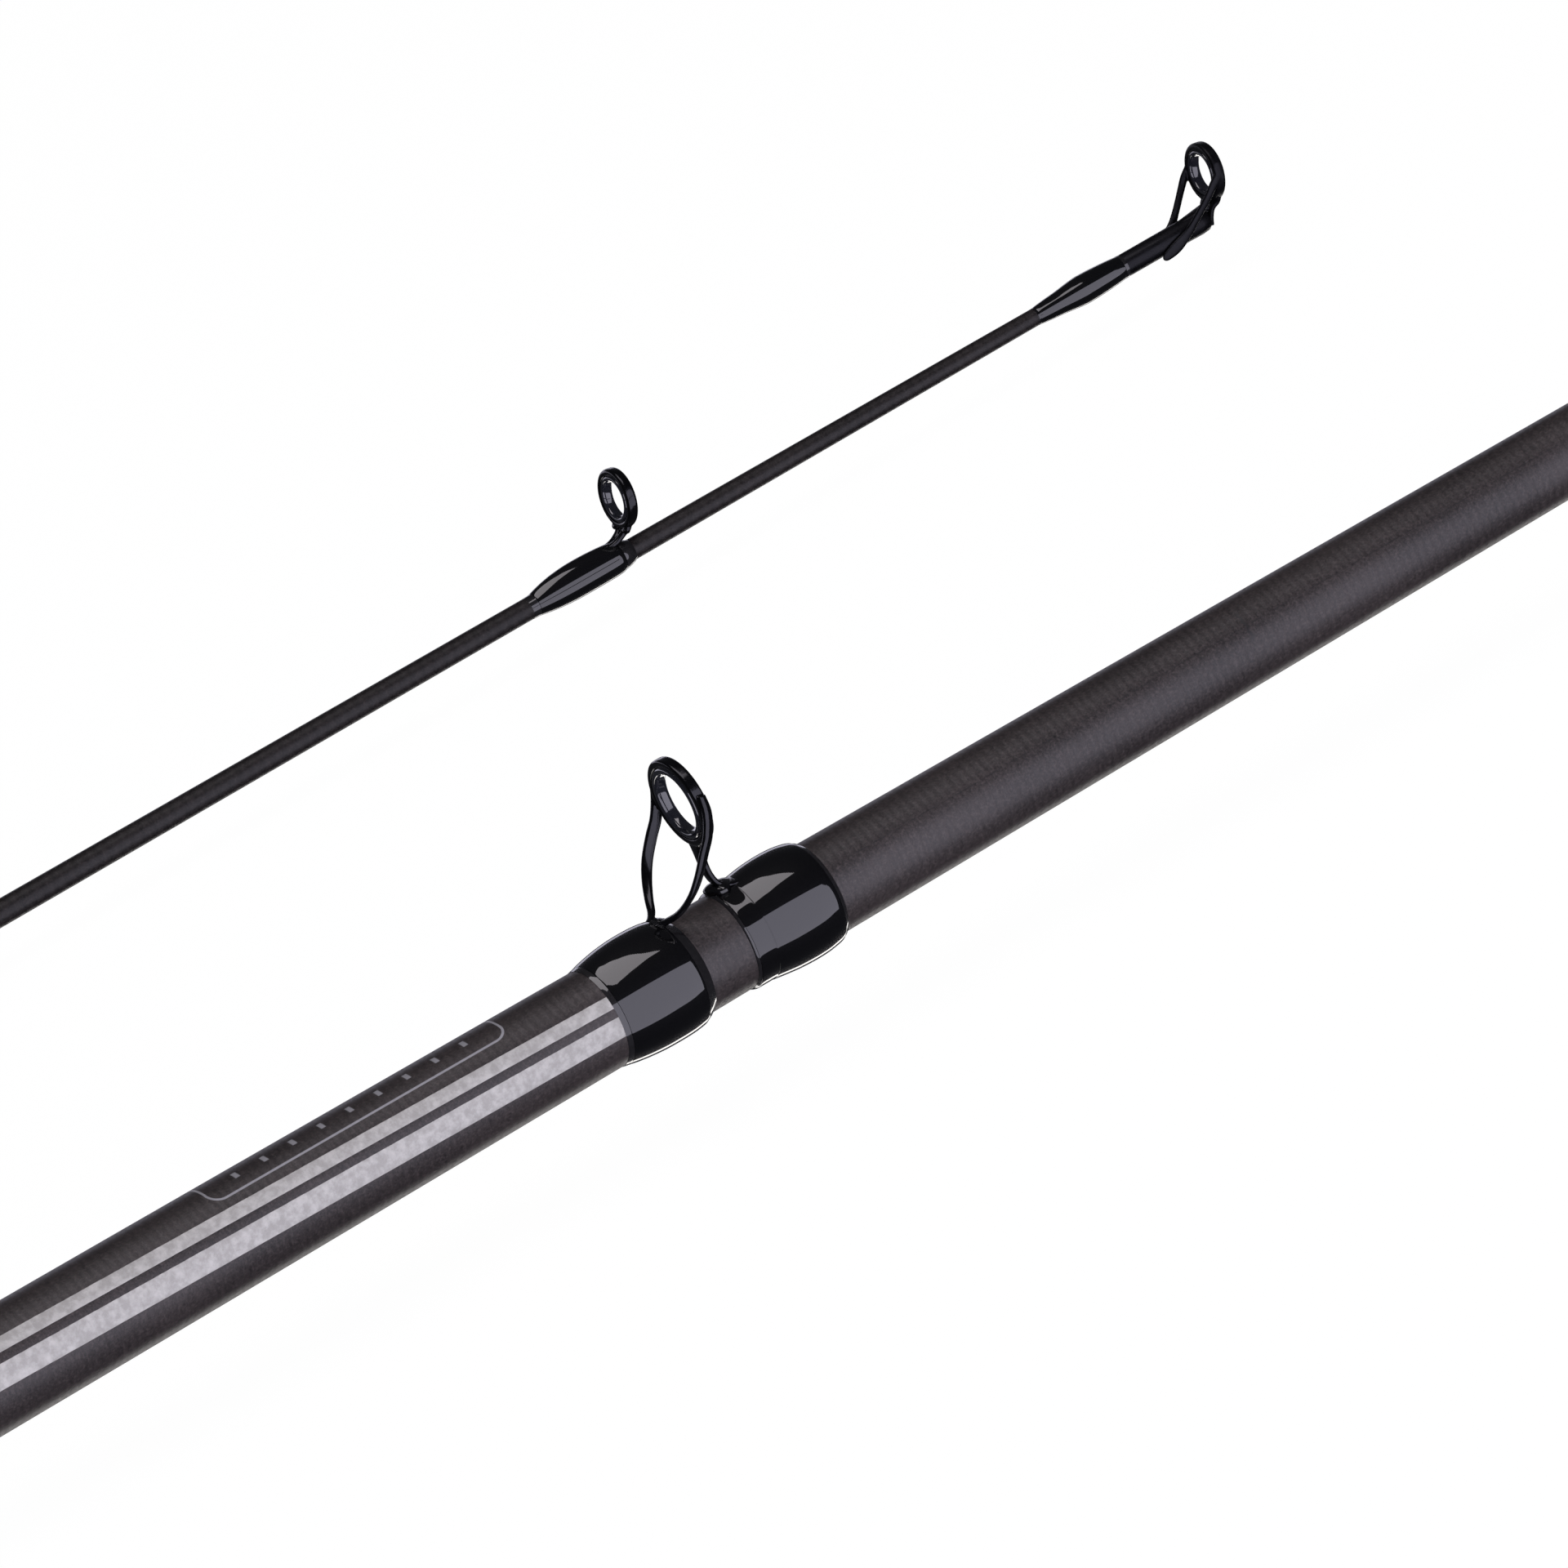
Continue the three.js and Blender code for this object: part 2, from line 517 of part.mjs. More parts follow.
function tipTopFrame() {
  const t = TIPTOP;
  const centre = TIP_LENGTH + t.ringAhead;
  const band = t.ring + BAND_WALL;
  const ring = frameBand(band, t.ring + GLUE_GAP, SMALL_BAND_DEPTH)
    .rotate([0, RING_LEAN, 0])
    .translate([centre, 0, t.ringHeight]);
  const side = t.tubeOuter + GLUE_GAP + 0.3;
  const braces = [-1, 1].map((s) =>
    bar(
      [
        [centre - 0.1, s * (band - 0.3), t.ringHeight - 0.3],
        [centre - 1.7, s * (band - 0.4), t.ringHeight - 1.2],
        [centre - 3.8, s * (side + 0.5), 1.5],
        [centre - 5.9, s * (side + 0.1), -0.1],
        [TIP_LENGTH - t.braceBack, s * side, -0.9],
      ],
      0.55,
      0.9,
      7,
    ),
  );
  const neck = bar(
    [[centre + 0.1, 0, t.ringHeight - band + 0.2], [TIP_LENGTH + 0.35, 0, 0.9], [TIP_LENGTH + 0.33, 0, -0.6]],
    2.2,
    0.5,
    3,
  );
  return addAll(ring, ...braces, neck);
}
addPart("tiptop_frame", tipTopFrame(), steel(), tipAt);
addPart(
  "tiptop_ring",
  insertRing(TIPTOP.ring, TIPTOP.ring * HOLE_SHARE, SMALL_RING_DEPTH)
    .rotate([0, RING_LEAN, 0])
    .translate([TIP_LENGTH + TIPTOP.ringAhead, 0, TIPTOP.ringHeight]),
  ceramic(),
  tipAt,
);

// This wrap climbs from the blank on to the tube and holds its rear end.
function tipTopWrap() {
  const t = TIPTOP;
  const step = t.tubeStart - GLUE_GAP;
  const over = t.tubeOuter + GLUE_GAP;
  const start = radiusAt(TIP_STATIONS, t.wrapStart) + GLUE_GAP;
  const outer = [
    [t.wrapStart, start + 0.08], [t.wrapStart + 2.8, t.tubeOuter + 0.02],
    [t.tubeStart + 0.6, t.tubeOuter + 0.34], [t.tubeStart + 3.4, t.tubeOuter + 0.24],
    [t.wrapEnd - 0.8, t.tubeOuter + 0.14], [t.wrapEnd, over + 0.02],
  ];
  const inner = [...alongBlank(TIP_STATIONS, t.wrapStart, step, GLUE_GAP), [step, over], [t.wrapEnd, over]];
  return sleeve(outer, inner, TIP_SIDES);
}
addPart("tiptop_wrap", tipTopWrap(), black(), tipAt);

export default rodGroup;
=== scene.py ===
"""A two-piece spinning rod, its two sections side by side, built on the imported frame.

Lengths are in millimetres up to the stage, and MM takes them to the scene's metres.
"""

import math

import bmesh
import bpy
from mathutils import Matrix, Vector


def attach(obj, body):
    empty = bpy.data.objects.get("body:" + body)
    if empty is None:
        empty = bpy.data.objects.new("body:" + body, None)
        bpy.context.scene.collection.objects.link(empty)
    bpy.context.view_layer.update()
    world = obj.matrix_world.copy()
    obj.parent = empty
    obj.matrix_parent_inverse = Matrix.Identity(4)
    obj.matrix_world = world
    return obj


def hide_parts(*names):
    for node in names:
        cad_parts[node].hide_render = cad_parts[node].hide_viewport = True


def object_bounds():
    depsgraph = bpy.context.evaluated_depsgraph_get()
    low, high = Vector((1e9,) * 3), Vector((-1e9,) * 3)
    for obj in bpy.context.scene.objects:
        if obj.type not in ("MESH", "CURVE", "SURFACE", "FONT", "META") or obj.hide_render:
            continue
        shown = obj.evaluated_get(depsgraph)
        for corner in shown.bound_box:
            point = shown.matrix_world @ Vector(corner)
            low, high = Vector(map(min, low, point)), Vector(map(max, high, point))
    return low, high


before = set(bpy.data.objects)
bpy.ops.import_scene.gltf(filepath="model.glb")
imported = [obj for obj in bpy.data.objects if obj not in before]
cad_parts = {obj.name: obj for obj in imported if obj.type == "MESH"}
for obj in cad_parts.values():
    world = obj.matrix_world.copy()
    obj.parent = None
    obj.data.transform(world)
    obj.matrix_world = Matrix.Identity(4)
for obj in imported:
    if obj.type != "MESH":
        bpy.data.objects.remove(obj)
cad_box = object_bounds()

MM = 0.001
# the fixed body and the one that is carried
BUTT = "butt_section"
TIP = "tip_section"
# (y, z) of each section's axis
BUTT_AXIS = (0.0, 0.0)
TIP_AXIS = (124.5, -9.3)
# the tip section's first x, its length, and the x of the first guide's ring
TIP_START = 7.6
TIP_LENGTH = 1090.0
END = TIP_START + TIP_LENGTH
RING_X = 959.0

# ---------------------------------------- node helpers


class Shader:
    """Short names for building one material's node tree."""

    def __init__(self, name, **values):
        self.material = bpy.data.materials.new(name)
        self.material.use_nodes = True
        self.tree = self.material.node_tree
        self.bsdf = self.tree.nodes["Principled BSDF"]
        for socket, value in values.items():
            self.bsdf.inputs[socket.replace("_", " ")].default_value = value
        self.place = self.tree.nodes.new("ShaderNodeTexCoord").outputs["Object"]

    def put(self, socket, value):
        if hasattr(value, "is_linked"):
            self.tree.links.new(value, socket)
        else:
            socket.default_value = value

    def math(self, operation, *values, clamp=False):
        node = self.tree.nodes.new("ShaderNodeMath")
        node.operation = operation
        node.use_clamp = clamp
        for socket, value in zip(node.inputs, values):
            self.put(socket, value)
        return node.outputs[0]

    def times(self, *values, clamp=False):
        return self.math("MULTIPLY", *values, clamp=clamp)

    def plus(self, *values):
        return self.math("ADD", *values)

    def minus(self, *values):
        return self.math("SUBTRACT", *values)

    def most(self, *values):
        return self.math("MAXIMUM", *values)

    def scale_add(self, value, scale, base):
        return self.math("MULTIPLY_ADD", value, scale, base)

    def set(self, name, value):
        self.put(self.bsdf.inputs[name], value)

    def split(self, vector):
        node = self.tree.nodes.new("ShaderNodeSeparateXYZ")
        self.put(node.inputs[0], vector)
        return node.outputs[0], node.outputs[1], node.outputs[2]

    def join(self, x, y, z):
        node = self.tree.nodes.new("ShaderNodeCombineXYZ")
        for socket, value in zip(node.inputs, (x, y, z)):
            self.put(socket, value)
        return node.outputs[0]

    def scaled(self, vector, scale):
        node = self.tree.nodes.new("ShaderNodeVectorMath")
        node.operation = "MULTIPLY"
        self.put(node.inputs[0], vector)
        node.inputs[1].default_value = scale
        return node.outputs[0]

    def noise(self, vector, scale, detail=3.0, roughness=0.55):
        node = self.tree.nodes.new("ShaderNodeTexNoise")
        self.put(node.inputs["Vector"], vector)
        node.inputs["Scale"].default_value = scale
        node.inputs["Detail"].default_value = detail
        node.inputs["Roughness"].default_value = roughness
        return node.outputs[0]

    def cells(self, vector, scale):
        node = self.tree.nodes.new("ShaderNodeTexVoronoi")
        self.put(node.inputs["Vector"], vector)
        node.inputs["Scale"].default_value = scale
        return node.outputs["Distance"]

    def ramp(self, value, low, high, to_low=0.0, to_high=1.0):
        node = self.tree.nodes.new("ShaderNodeMapRange")
        node.interpolation_type = "SMOOTHSTEP"
        for socket, number in zip(node.inputs, (value, low, high, to_low, to_high)):
            self.put(socket, number)
        return node.outputs[0]

    def between(self, value, low, high, soft):
        """1 where value lies between low and high, with soft edges."""
        rise = self.ramp(value, self.minus(low, soft), self.plus(low, soft))
        fall = self.ramp(value, self.minus(high, soft), self.plus(high, soft), 1.0, 0.0)
        return self.times(rise, fall)

    def mix(self, factor, first, second):
        node = self.tree.nodes.new("ShaderNodeMix")
        node.data_type = "RGBA"
        self.put(node.inputs["Factor"], factor)
        for key, value in (("A", first), ("B", second)):
            socket = [s for s in node.inputs if s.name == key and s.type == "RGBA"][0]
            self.put(socket, value if hasattr(value, "is_linked") else (*value, 1.0))
        return [s for s in node.outputs if s.type == "RGBA"][0]

    def bump(self, height, distance, strength=1.0, target="Normal"):
        node = self.tree.nodes.new("ShaderNodeBump")
        node.inputs["Strength"].default_value = strength
        node.inputs["Distance"].default_value = distance
        self.put(node.inputs["Height"], height)
        self.set(target, node.outputs[0])

    def colour(self, value):
        self.set("Base Color", value)

    def roughness(self, value):
        self.set("Roughness", value)

    def around(self, axis):
        """Millimetres along the rod, and degrees round it from the top towards -Y."""
        x, y, z = self.split(self.place)
        along = self.times(x, 1 / MM)
        side = self.minus(axis[0] * MM, y)
        up = self.minus(z, axis[1] * MM)
        angle = self.times(self.math("ARCTAN2", side, up), 180.0 / math.pi)
        return along, angle


# ---------------------------------------- materials

# where the printing on the butt blank starts and ends, along the rod
STRIPES_X = (RING_X - 330.0, RING_X - 13.75)
DASHES_X = (RING_X - 61.3, RING_X - 29.8)
# the two silver stripes, in degrees from the top
STRIPES_ANGLE = ((51.5, 66.5), (76.5, 100.0))
# the outline's middle and half length along the rod, and half width in degrees
OUTLINE_X = RING_X - 45.5
OUTLINE_REACH = (16.6, 17.0)


def blank_material(name, axis, graphics):
    """Matte carbon under a thin lacquer; graphics adds the printing of the butt blank."""
    s = Shader(name)
    along, angle = s.around(axis)
    girth = s.times(angle, 0.09)
    flat = s.join(along, girth, 0.0)
    grain = s.noise(s.place, 5200.0, 4.0, 0.7)
    flecks = s.noise(s.place, 3400.0, 2.0, 0.5)
    clouds = s.noise(s.scaled(s.place, (0.35, 1.0, 1.0)), 160.0, 3.0)
    fibre = s.noise(s.scaled(flat, (5.0, 0.7, 1.0)), 1.0, 3.0)
    pitch = 1.0 if graphics else 1.4
    helix = s.plus(along, s.times(angle, pitch / 360.0))
    tape = s.math("SINE", s.times(helix, 2 * math.pi / pitch))
    shade = s.ramp(grain, 0.3, 0.7)
    shade = s.scale_add(s.ramp(flecks, 0.45, 0.72), 0.45, s.times(shade, 0.55))
    shade = s.scale_add(s.ramp(clouds, 0.3, 0.7), 0.22, shade)
    shade = s.scale_add(s.ramp(fibre, 0.35, 0.7), 0.15, shade)
    shade = s.scale_add(tape, 0.05 if graphics else 0.12, shade)
    tone = 0.88 if graphics else 0.34
    dark = tuple(tone * c for c in (0.0048, 0.0038, 0.0038))
    light = tuple(tone * c for c in (0.0620, 0.0500, 0.0465))
    colour = s.mix(s.times(shade, 0.8, clamp=True), dark, light)
    height = s.scale_add(tape, 0.35, s.plus(s.times(grain, 0.8), s.times(fibre, 0.5)))
    rough = s.ramp(grain, 0.3, 0.7, 0.37, 0.53)
    if graphics:
        # one lengthwise joint line of the wrapping and one short scuff across it
        wander = s.scale_add(s.noise(s.join(along, 0.0, 0.0), 0.05, 2.0), 6.0, 48.0)
        line = s.between(angle, wander, s.plus(wander, 1.3), 0.7)
        line = s.times(line, s.ramp(along, RING_X + 12, RING_X + 16))
        line = s.times(line, s.ramp(s.noise(s.join(along, 3.0, 0.0), 0.6, 3.0), 0.35, 0.6))
        scuff_x = s.plus(along, s.times(s.noise(s.join(0.0, girth, 0.0), 1.2, 2.0), 0.8))
        scuff = s.between(scuff_x, RING_X + 64.1, RING_X + 64.45, 0.12)
        scuff = s.times(scuff, s.between(angle, 30.0, 72.0, 8.0))
        colour = s.mix(s.times(s.most(line, scuff), 0.75), colour, (0.009, 0.0085, 0.009))
        # two silver stripes that end under the rear wrap, and turn a little round the blank
        turn = s.times(s.minus(RING_X - 14.0, along), -0.17)
        placed = s.minus(angle, turn)
        worn = s.noise(s.place, 900.0, 4.0, 0.65)
        placed = s.plus(placed, s.scale_add(worn, 0.8, -0.4))
        stripes = s.most(*(s.between(placed, *edges, 0.25) for edges in STRIPES_ANGLE))
        stripes = s.times(stripes, s.between(along, *STRIPES_X, 0.06))
        # a thin rounded outline on top, holding plain dashes
        across = s.math("ABSOLUTE", s.minus(angle, -1.0))
        middle = s.math("ABSOLUTE", s.minus(along, OUTLINE_X))
        out_x = s.most(s.minus(middle, OUTLINE_REACH[0]), 0.0)
        out_a = s.most(s.times(s.minus(across, OUTLINE_REACH[1]), 0.098), 0.0)
        outside = s.math("SQRT", s.plus(s.times(out_x, out_x), s.times(out_a, out_a)))
        outline = s.between(outside, 1.35, 1.62, 0.04)
        step = s.math("FRACT", s.times(s.minus(along, DASHES_X[0]), 1 / 3.5))
        dashes = s.times(s.between(step, 0.42, 0.58, 0.02), s.between(angle, 4.0, 15.0, 0.6))
        dashes = s.times(dashes, s.between(along, *DASHES_X, 0.1))
        print_mask = s.most(outline, dashes)
        silver = s.mix(s.ramp(worn, 0.35, 0.7), (0.31, 0.302, 0.275), (0.45, 0.44, 0.405))
        colour = s.mix(stripes, colour, silver)
        colour = s.mix(s.times(print_mask, 0.75), colour, (0.34, 0.34, 0.35))
        rough = s.scale_add(stripes, 0.1, rough)
        s.set("Metallic", s.times(stripes, 0.1))
        height = s.scale_add(stripes, 1.2, height)
    s.colour(colour)
    s.roughness(rough)
    s.set("Specular IOR Level", 0.4 if graphics else 0.26)
    s.bump(height, 0.00002, 0.8)
    return s.material


def wrap_material(name, axis):
    """Black winding thread seen through a thick gloss coat."""
    s = Shader(name, Coat_Weight=1.0, Coat_Roughness=0.035, Coat_IOR=1.52)
    along, angle = s.around(axis)
    pitch = 0.2
    helix = s.plus(along, s.times(angle, pitch / 360))
    turns = s.math("SINE", s.times(helix, 2 * math.pi / pitch))
    fuzz = s.noise(s.place, 4000.0, 3.0)
    shade = s.scale_add(turns, 0.25, s.times(fuzz, 0.5))
    s.colour(s.mix(shade, (0.0006, 0.0006, 0.0009), (0.0018, 0.0018, 0.0024)))
    s.roughness(s.ramp(fuzz, 0.3, 0.7, 0.4, 0.55))
    s.set("Specular IOR Level", 0.04)
    swell = s.noise(s.scaled(s.place, (0.6, 1.0, 1.0)), 140.0, 1.0)
    pocks = s.ramp(s.noise(s.place, 1500.0, 2.0), 0.62, 0.75)
    s.bump(s.scale_add(turns, 0.02, s.scale_add(pocks, 0.06, swell)), 0.00008, 0.5)
    surface = s.scale_add(turns, 0.012, s.scale_add(pocks, 0.05, swell))
    s.bump(surface, 0.00004, 0.1, "Coat Normal")
    return s.material


def resin_material():
    """The clear resin's skirt past the thread: the dark blank seen through a gloss."""
    s = Shader("resin_skirt", Coat_Weight=1.0, Coat_Roughness=0.04, Coat_IOR=1.52)
    haze = s.noise(s.place, 1800.0, 3.0)
    s.colour(s.mix(haze, (0.0035, 0.0033, 0.0036), (0.011, 0.0105, 0.011)))
    s.roughness(s.ramp(haze, 0.3, 0.8, 0.4, 0.55))
    s.set("Specular IOR Level", 0.1)
    s.bump(s.noise(s.place, 420.0, 1.0), 0.00003, 0.5)
    return s.material


def metal_material(name, dark, light, rough, brushed=0.0, coat=0.35):
    """Black or anodised metal with fine wear; brushed is the depth of its turning marks."""
    s = Shader(name, Metallic=0.85, Coat_Weight=coat, Coat_Roughness=0.08)
    mottling = s.noise(s.place, 700.0, 4.0)
    fine = s.noise(s.place, 5200.0, 2.0)
    s.colour(s.mix(s.scale_add(fine, 0.35, s.times(mottling, 0.65)), dark, light))
    wear = s.scale_add(fine, 0.4, s.times(mottling, 0.6))
    s.roughness(s.ramp(wear, 0.3, 0.7, rough * 0.75, rough * 1.25))
    x = s.split(s.place)[0]
    marks = s.noise(s.join(s.times(x, 9000.0), 0.0, 0.0), 1.0, 2.0)
    s.bump(s.scale_add(marks, brushed, s.times(fine, 0.5)), 0.00001, 0.7)
    return s.material


def ceramic_material():
    s = Shader("polished_ceramic", Coat_Weight=0.6, Coat_Roughness=0.03)
    cloud = s.noise(s.place, 1200.0, 3.0)
    s.colour(s.mix(cloud, (0.006, 0.0065, 0.009), (0.016, 0.017, 0.022)))
    s.roughness(s.ramp(cloud, 0.3, 0.7, 0.06, 0.13))
    s.bump(s.noise(s.place, 3000.0, 2.0), 0.000004, 0.5)
    return s.material


def foam_material():
    """Closed-cell foam: fine pores, a dusty bloom and pressed marks."""
    s = Shader("grip_foam", Sheen_Weight=0.15, Sheen_Roughness=0.6)
    pores = s.cells(s.place, 1500.0)
    wear = s.noise(s.place, 55.0, 4.0)
    fine = s.noise(s.place, 1900.0, 4.0)
    shade = s.scale_add(s.ramp(pores, 0.1, 0.5), 0.5, s.times(wear, 0.5))
    s.colour(s.mix(shade, (0.006, 0.006, 0.0062), (0.034, 0.033, 0.033)))
    s.roughness(s.ramp(wear, 0.3, 0.7, 0.82, 0.96))
    s.set("Specular IOR Level", 0.3)
    s.bump(s.scale_add(fine, 0.7, s.times(pores, 1.3)), 0.00022, 1.0)
    return s.material


def plastic_material(name, dark, light, rough, grain_scale, depth):
    """Moulded plastic or rubber with a fine eroded finish."""
    s = Shader(name)
    grain = s.noise(s.place, grain_scale, 4.0, 0.6)
    patch = s.noise(s.place, 90.0, 3.0)
    s.colour(s.mix(s.scale_add(patch, 0.5, s.times(grain, 0.5)), dark, light))
    s.roughness(s.ramp(patch, 0.3, 0.7, rough - 0.07, rough + 0.08))
    s.bump(grain, depth, 0.8)
    return s.material


MATERIALS = {
    "butt_blank": blank_material("butt_blank_matte", BUTT_AXIS, True),
    "tip_blank": blank_material("tip_blank_matte", TIP_AXIS, False),
    "butt_wrap": wrap_material("butt_thread", BUTT_AXIS),
    "tip_wrap": wrap_material("tip_thread", TIP_AXIS),
    "resin": resin_material(),
    "guide": metal_material("guide_black_metal", (0.005, 0.005, 0.006), (0.015, 0.015, 0.018), 0.2, coat=0.2),
    "barrel": metal_material(
        "barrel_black_metal", (0.003, 0.003, 0.004), (0.008, 0.008, 0.010), 0.45, coat=0.04,
    ),
    "trim": metal_material("anodised_trim", (0.07, 0.07, 0.075), (0.13, 0.13, 0.14), 0.3, 1.0),
    "hood": metal_material("anodised_hood", (0.02, 0.02, 0.022), (0.05, 0.05, 0.054), 0.3, 0.6),
    "ceramic": ceramic_material(),
    "foam": foam_material(),
    "seat": plastic_material(
        "seat_plastic", (0.008, 0.008, 0.009), (0.022, 0.022, 0.024), 0.36, 2200.0, 0.00002,
    ),
    "rubber": plastic_material(
        "cap_rubber", (0.009, 0.009, 0.0095), (0.02, 0.0195, 0.02), 0.72, 1500.0, 0.00005,
    ),
    "arbor": plastic_material("arbor_fibre", (0.22, 0.21, 0.18), (0.38, 0.36, 0.32), 0.8, 900.0, 0.00006),
}

# ---------------------------------------- geometry helpers


SHARP = math.radians(38)


def spline(points, t):
    """A point on the Catmull-Rom curve through a list of tuples, t from 0 to 1."""
    count = len(points) - 1
    place = min(max(t, 0.0), 1.0) * count
    i = min(int(place), count - 1)
    u = place - i
    p1, p2 = Vector(points[i]), Vector(points[i + 1])
    p0 = Vector(points[i - 1]) if i > 0 else 2 * p1 - p2
    p3 = Vector(points[i + 2]) if i + 2 <= count else 2 * p2 - p1
    a = 2 * p1
    b = p2 - p0
    c = 2 * p0 - 5 * p1 + 4 * p2 - p3
    d = -p0 + 3 * p1 - 3 * p2 + p3
    return 0.5 * (a + b * u + c * u * u + d * u * u * u)


def curve(points, steps):
    """The smooth line through a list of (x, r) points."""
    return [tuple(spline([(x, r, 0) for x, r in points], i / steps).xy) for i in range(steps + 1)]


def bands(rows, sides):
    """The faces between neighbouring rings of points, each with the same number of sides."""
    faces = []
    for i in range(rows - 1):
        for j in range(sides):
            k = (j + 1) % sides
            faces.append((i * sides + j, i * sides + k, (i + 1) * sides + k, (i + 1) * sides + j))
    return faces


def turned(profile, sides=96, axis=BUTT_AXIS, shape=None):
    """A closed loop of (x, r) points turned about axis. shape(x, r, angle) may change r."""
    verts, faces = [], []
    n = len(profile)
    for j in range(sides):
        a = 2 * math.pi * j / sides
        for x, r in profile:
            rr = shape(x, r, a) if shape else r
            verts.append((x, axis[0] - rr * math.sin(a), axis[1] + rr * math.cos(a)))
    for j in range(sides):
        k = (j + 1) % sides
        for i in range(n):
            m = (i + 1) % n
            faces.append((j * n + i, j * n + m, k * n + m, k * n + i))
    return verts, faces


def solid_turned(profile, sides=96, axis=BUTT_AXIS):
    """An open list of (x, r) points that starts and ends on the axis, turned about it."""
    inner = profile[1:-1]
    n = len(inner)
    verts, faces = [], []
    for j in range(sides):
        a = 2 * math.pi * j / sides
        verts += [(x, axis[0] - r * math.sin(a), axis[1] + r * math.cos(a)) for x, r in inner]
    first, last = len(verts), len(verts) + 1
    verts += [(profile[0][0], *axis), (profile[-1][0], *axis)]
    for j in range(sides):
        k = (j + 1) % sides
        faces.append((first, j * n, k * n))
        faces.append((last, k * n + n - 1, j * n + n - 1))
        faces += [(j * n + i, j * n + i + 1, k * n + i + 1, k * n + i) for i in range(n - 1)]
    return verts, faces


def swept(points, width, thick, steps=40, sides=16, wide=(0, 1, 0), power=2.6, wide_end=None):
    """A rounded strip along a smooth path.

    width and thick may be lists, spread evenly along it. Its wide side lies along wide,
    and turns to wide_end over the second half of the path.
    """
    def along(value, t):
        if not isinstance(value, (list, tuple)):
            return value
        return spline([(v, 0, 0) for v in value], t).x

    verts = []
    for i in range(steps + 1):
        t = i / steps
        here = spline(points, t)
        ahead = (spline(points, min(t + 0.01, 1)) - spline(points, max(t - 0.01, 0))).normalized()
        across = Vector(wide)
        if wide_end:
            across = across.lerp(Vector(wide_end), min(max((t - 0.5) / 0.4, 0.0), 1.0))
        across = (across - ahead * across.dot(ahead)).normalized()
        deep = ahead.cross(across)
        w, d = along(width, t) / 2, along(thick, t) / 2
        for j in range(sides):
            a = 2 * math.pi * j / sides
            c, s = math.cos(a), math.sin(a)
            u = math.copysign(abs(c) ** (2 / power), c) * w
            v = math.copysign(abs(s) ** (2 / power), s) * d
            verts.append(tuple(here + across * u + deep * v))
    faces = bands(steps + 1, sides)
    faces.append(tuple(range(sides - 1, -1, -1)))
    faces.append(tuple(range(steps * sides, (steps + 1) * sides)))
    return verts, faces


def ring(outer, inner, depth, sides=72, edge=0.2, count=5):
    """A band about the X axis at the origin, with rounded edges."""
    half = depth / 2
    profile = []
    corners = (
        (-half + edge, outer - edge, 180),
        (half - edge, outer - edge, 90),
        (half - edge, inner + edge, 0),
        (-half + edge, inner + edge, -90),
    )
    for cx, cr, start in corners:
        for i in range(count + 1):
            a = math.radians(start - 90 * i / count)
            profile.append((cx + edge * math.cos(a), cr + edge * math.sin(a)))
    return turned(profile, sides, (0.0, 0.0))


def moved(part, offset, lean=0.0):
    """A part leaned forward about Y by lean degrees, then moved."""
    c, s = math.cos(math.radians(lean)), math.sin(math.radians(lean))
    dx, dy, dz = offset
    return [(x * c + z * s + dx, y + dy, -x * s + z * c + dz) for x, y, z in part[0]], part[1]


def joined(*parts):
    verts, faces = [], []
    for v, f in parts:
        base = len(verts)
        verts += v
        faces += [tuple(i + base for i in face) for face in f]
    return verts, faces


def linked(name, data):
    """A new object for a mesh, light or camera, in the scene."""
    obj = bpy.data.objects.new(name, data)
    bpy.context.scene.collection.objects.link(obj)
    return obj


def solid(name, part):
    """A mesh object from a part in millimetres, with its faces turned outwards."""
    mesh = bpy.data.meshes.new(name)
    mesh.from_pydata([(x * MM, y * MM, z * MM) for x, y, z in part[0]], [], part[1])
    mesh.validate()
    work = bmesh.new()
    work.from_mesh(mesh)
    bmesh.ops.recalc_face_normals(work, faces=work.faces)
    work.to_mesh(mesh)
    work.free()
    mesh.set_sharp_from_angle(angle=SHARP)
    return linked(name, mesh)


def evaluated(obj):
    """The object's mesh with its modifiers applied."""
    graph = bpy.context.evaluated_depsgraph_get()
    return bpy.data.meshes.new_from_object(obj.evaluated_get(graph))


def piece(name, part, material, body, stands_for=()):
    """A visible piece from a part, riding on a body."""
    return dress(solid(name, part), material, body, stands_for)


def dress(obj, material, body, stands_for):
    obj.data.materials.clear()
    obj.data.materials.append(MATERIALS[material])
    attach(obj, body)
    if stands_for:
        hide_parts(*stands_for)
    return obj


def fused(name, part, voxel, smooth, keep, material, body, stands_for):
    """Overlapping parts made one skin with soft fillets, like a plated frame's.

    voxel is the remeshing size, smooth the rounds of smoothing, and keep the share of faces left.
    """
    raw = solid(name + "_raw", part)
    remesh = raw.modifiers.new("remesh", "REMESH")
    remesh.mode = "VOXEL"
    remesh.voxel_size = voxel * MM
    soften = raw.modifiers.new("soften", "SMOOTH")
    soften.factor = 0.5
    soften.iterations = smooth
    thin = raw.modifiers.new("thin", "DECIMATE")
    thin.ratio = keep
    final = evaluated(raw)
    final.name = name
    bpy.data.objects.remove(raw)
    for polygon in final.polygons:
        polygon.use_smooth = True
    dress(linked(name, final), material, body, stands_for)


# ---------------------------------------- blanks

# (x along the section, diameter)
BUTT_STATIONS = [
    (8, 14.0), (380, 13.7), (470, 13.5), (700, 13.0), (800, 12.4), (893, 11.4), (944, 10.7),
    (971, 10.05), (1063, 8.55), (1092, 8.1),
]
TIP_STATIONS = [
    (52, 8.2), (300, 7.1), (560, 5.3), (800, 3.7), (932, 2.75), (1016, 2.3), (1067, 1.92), (1089, 1.65),
]


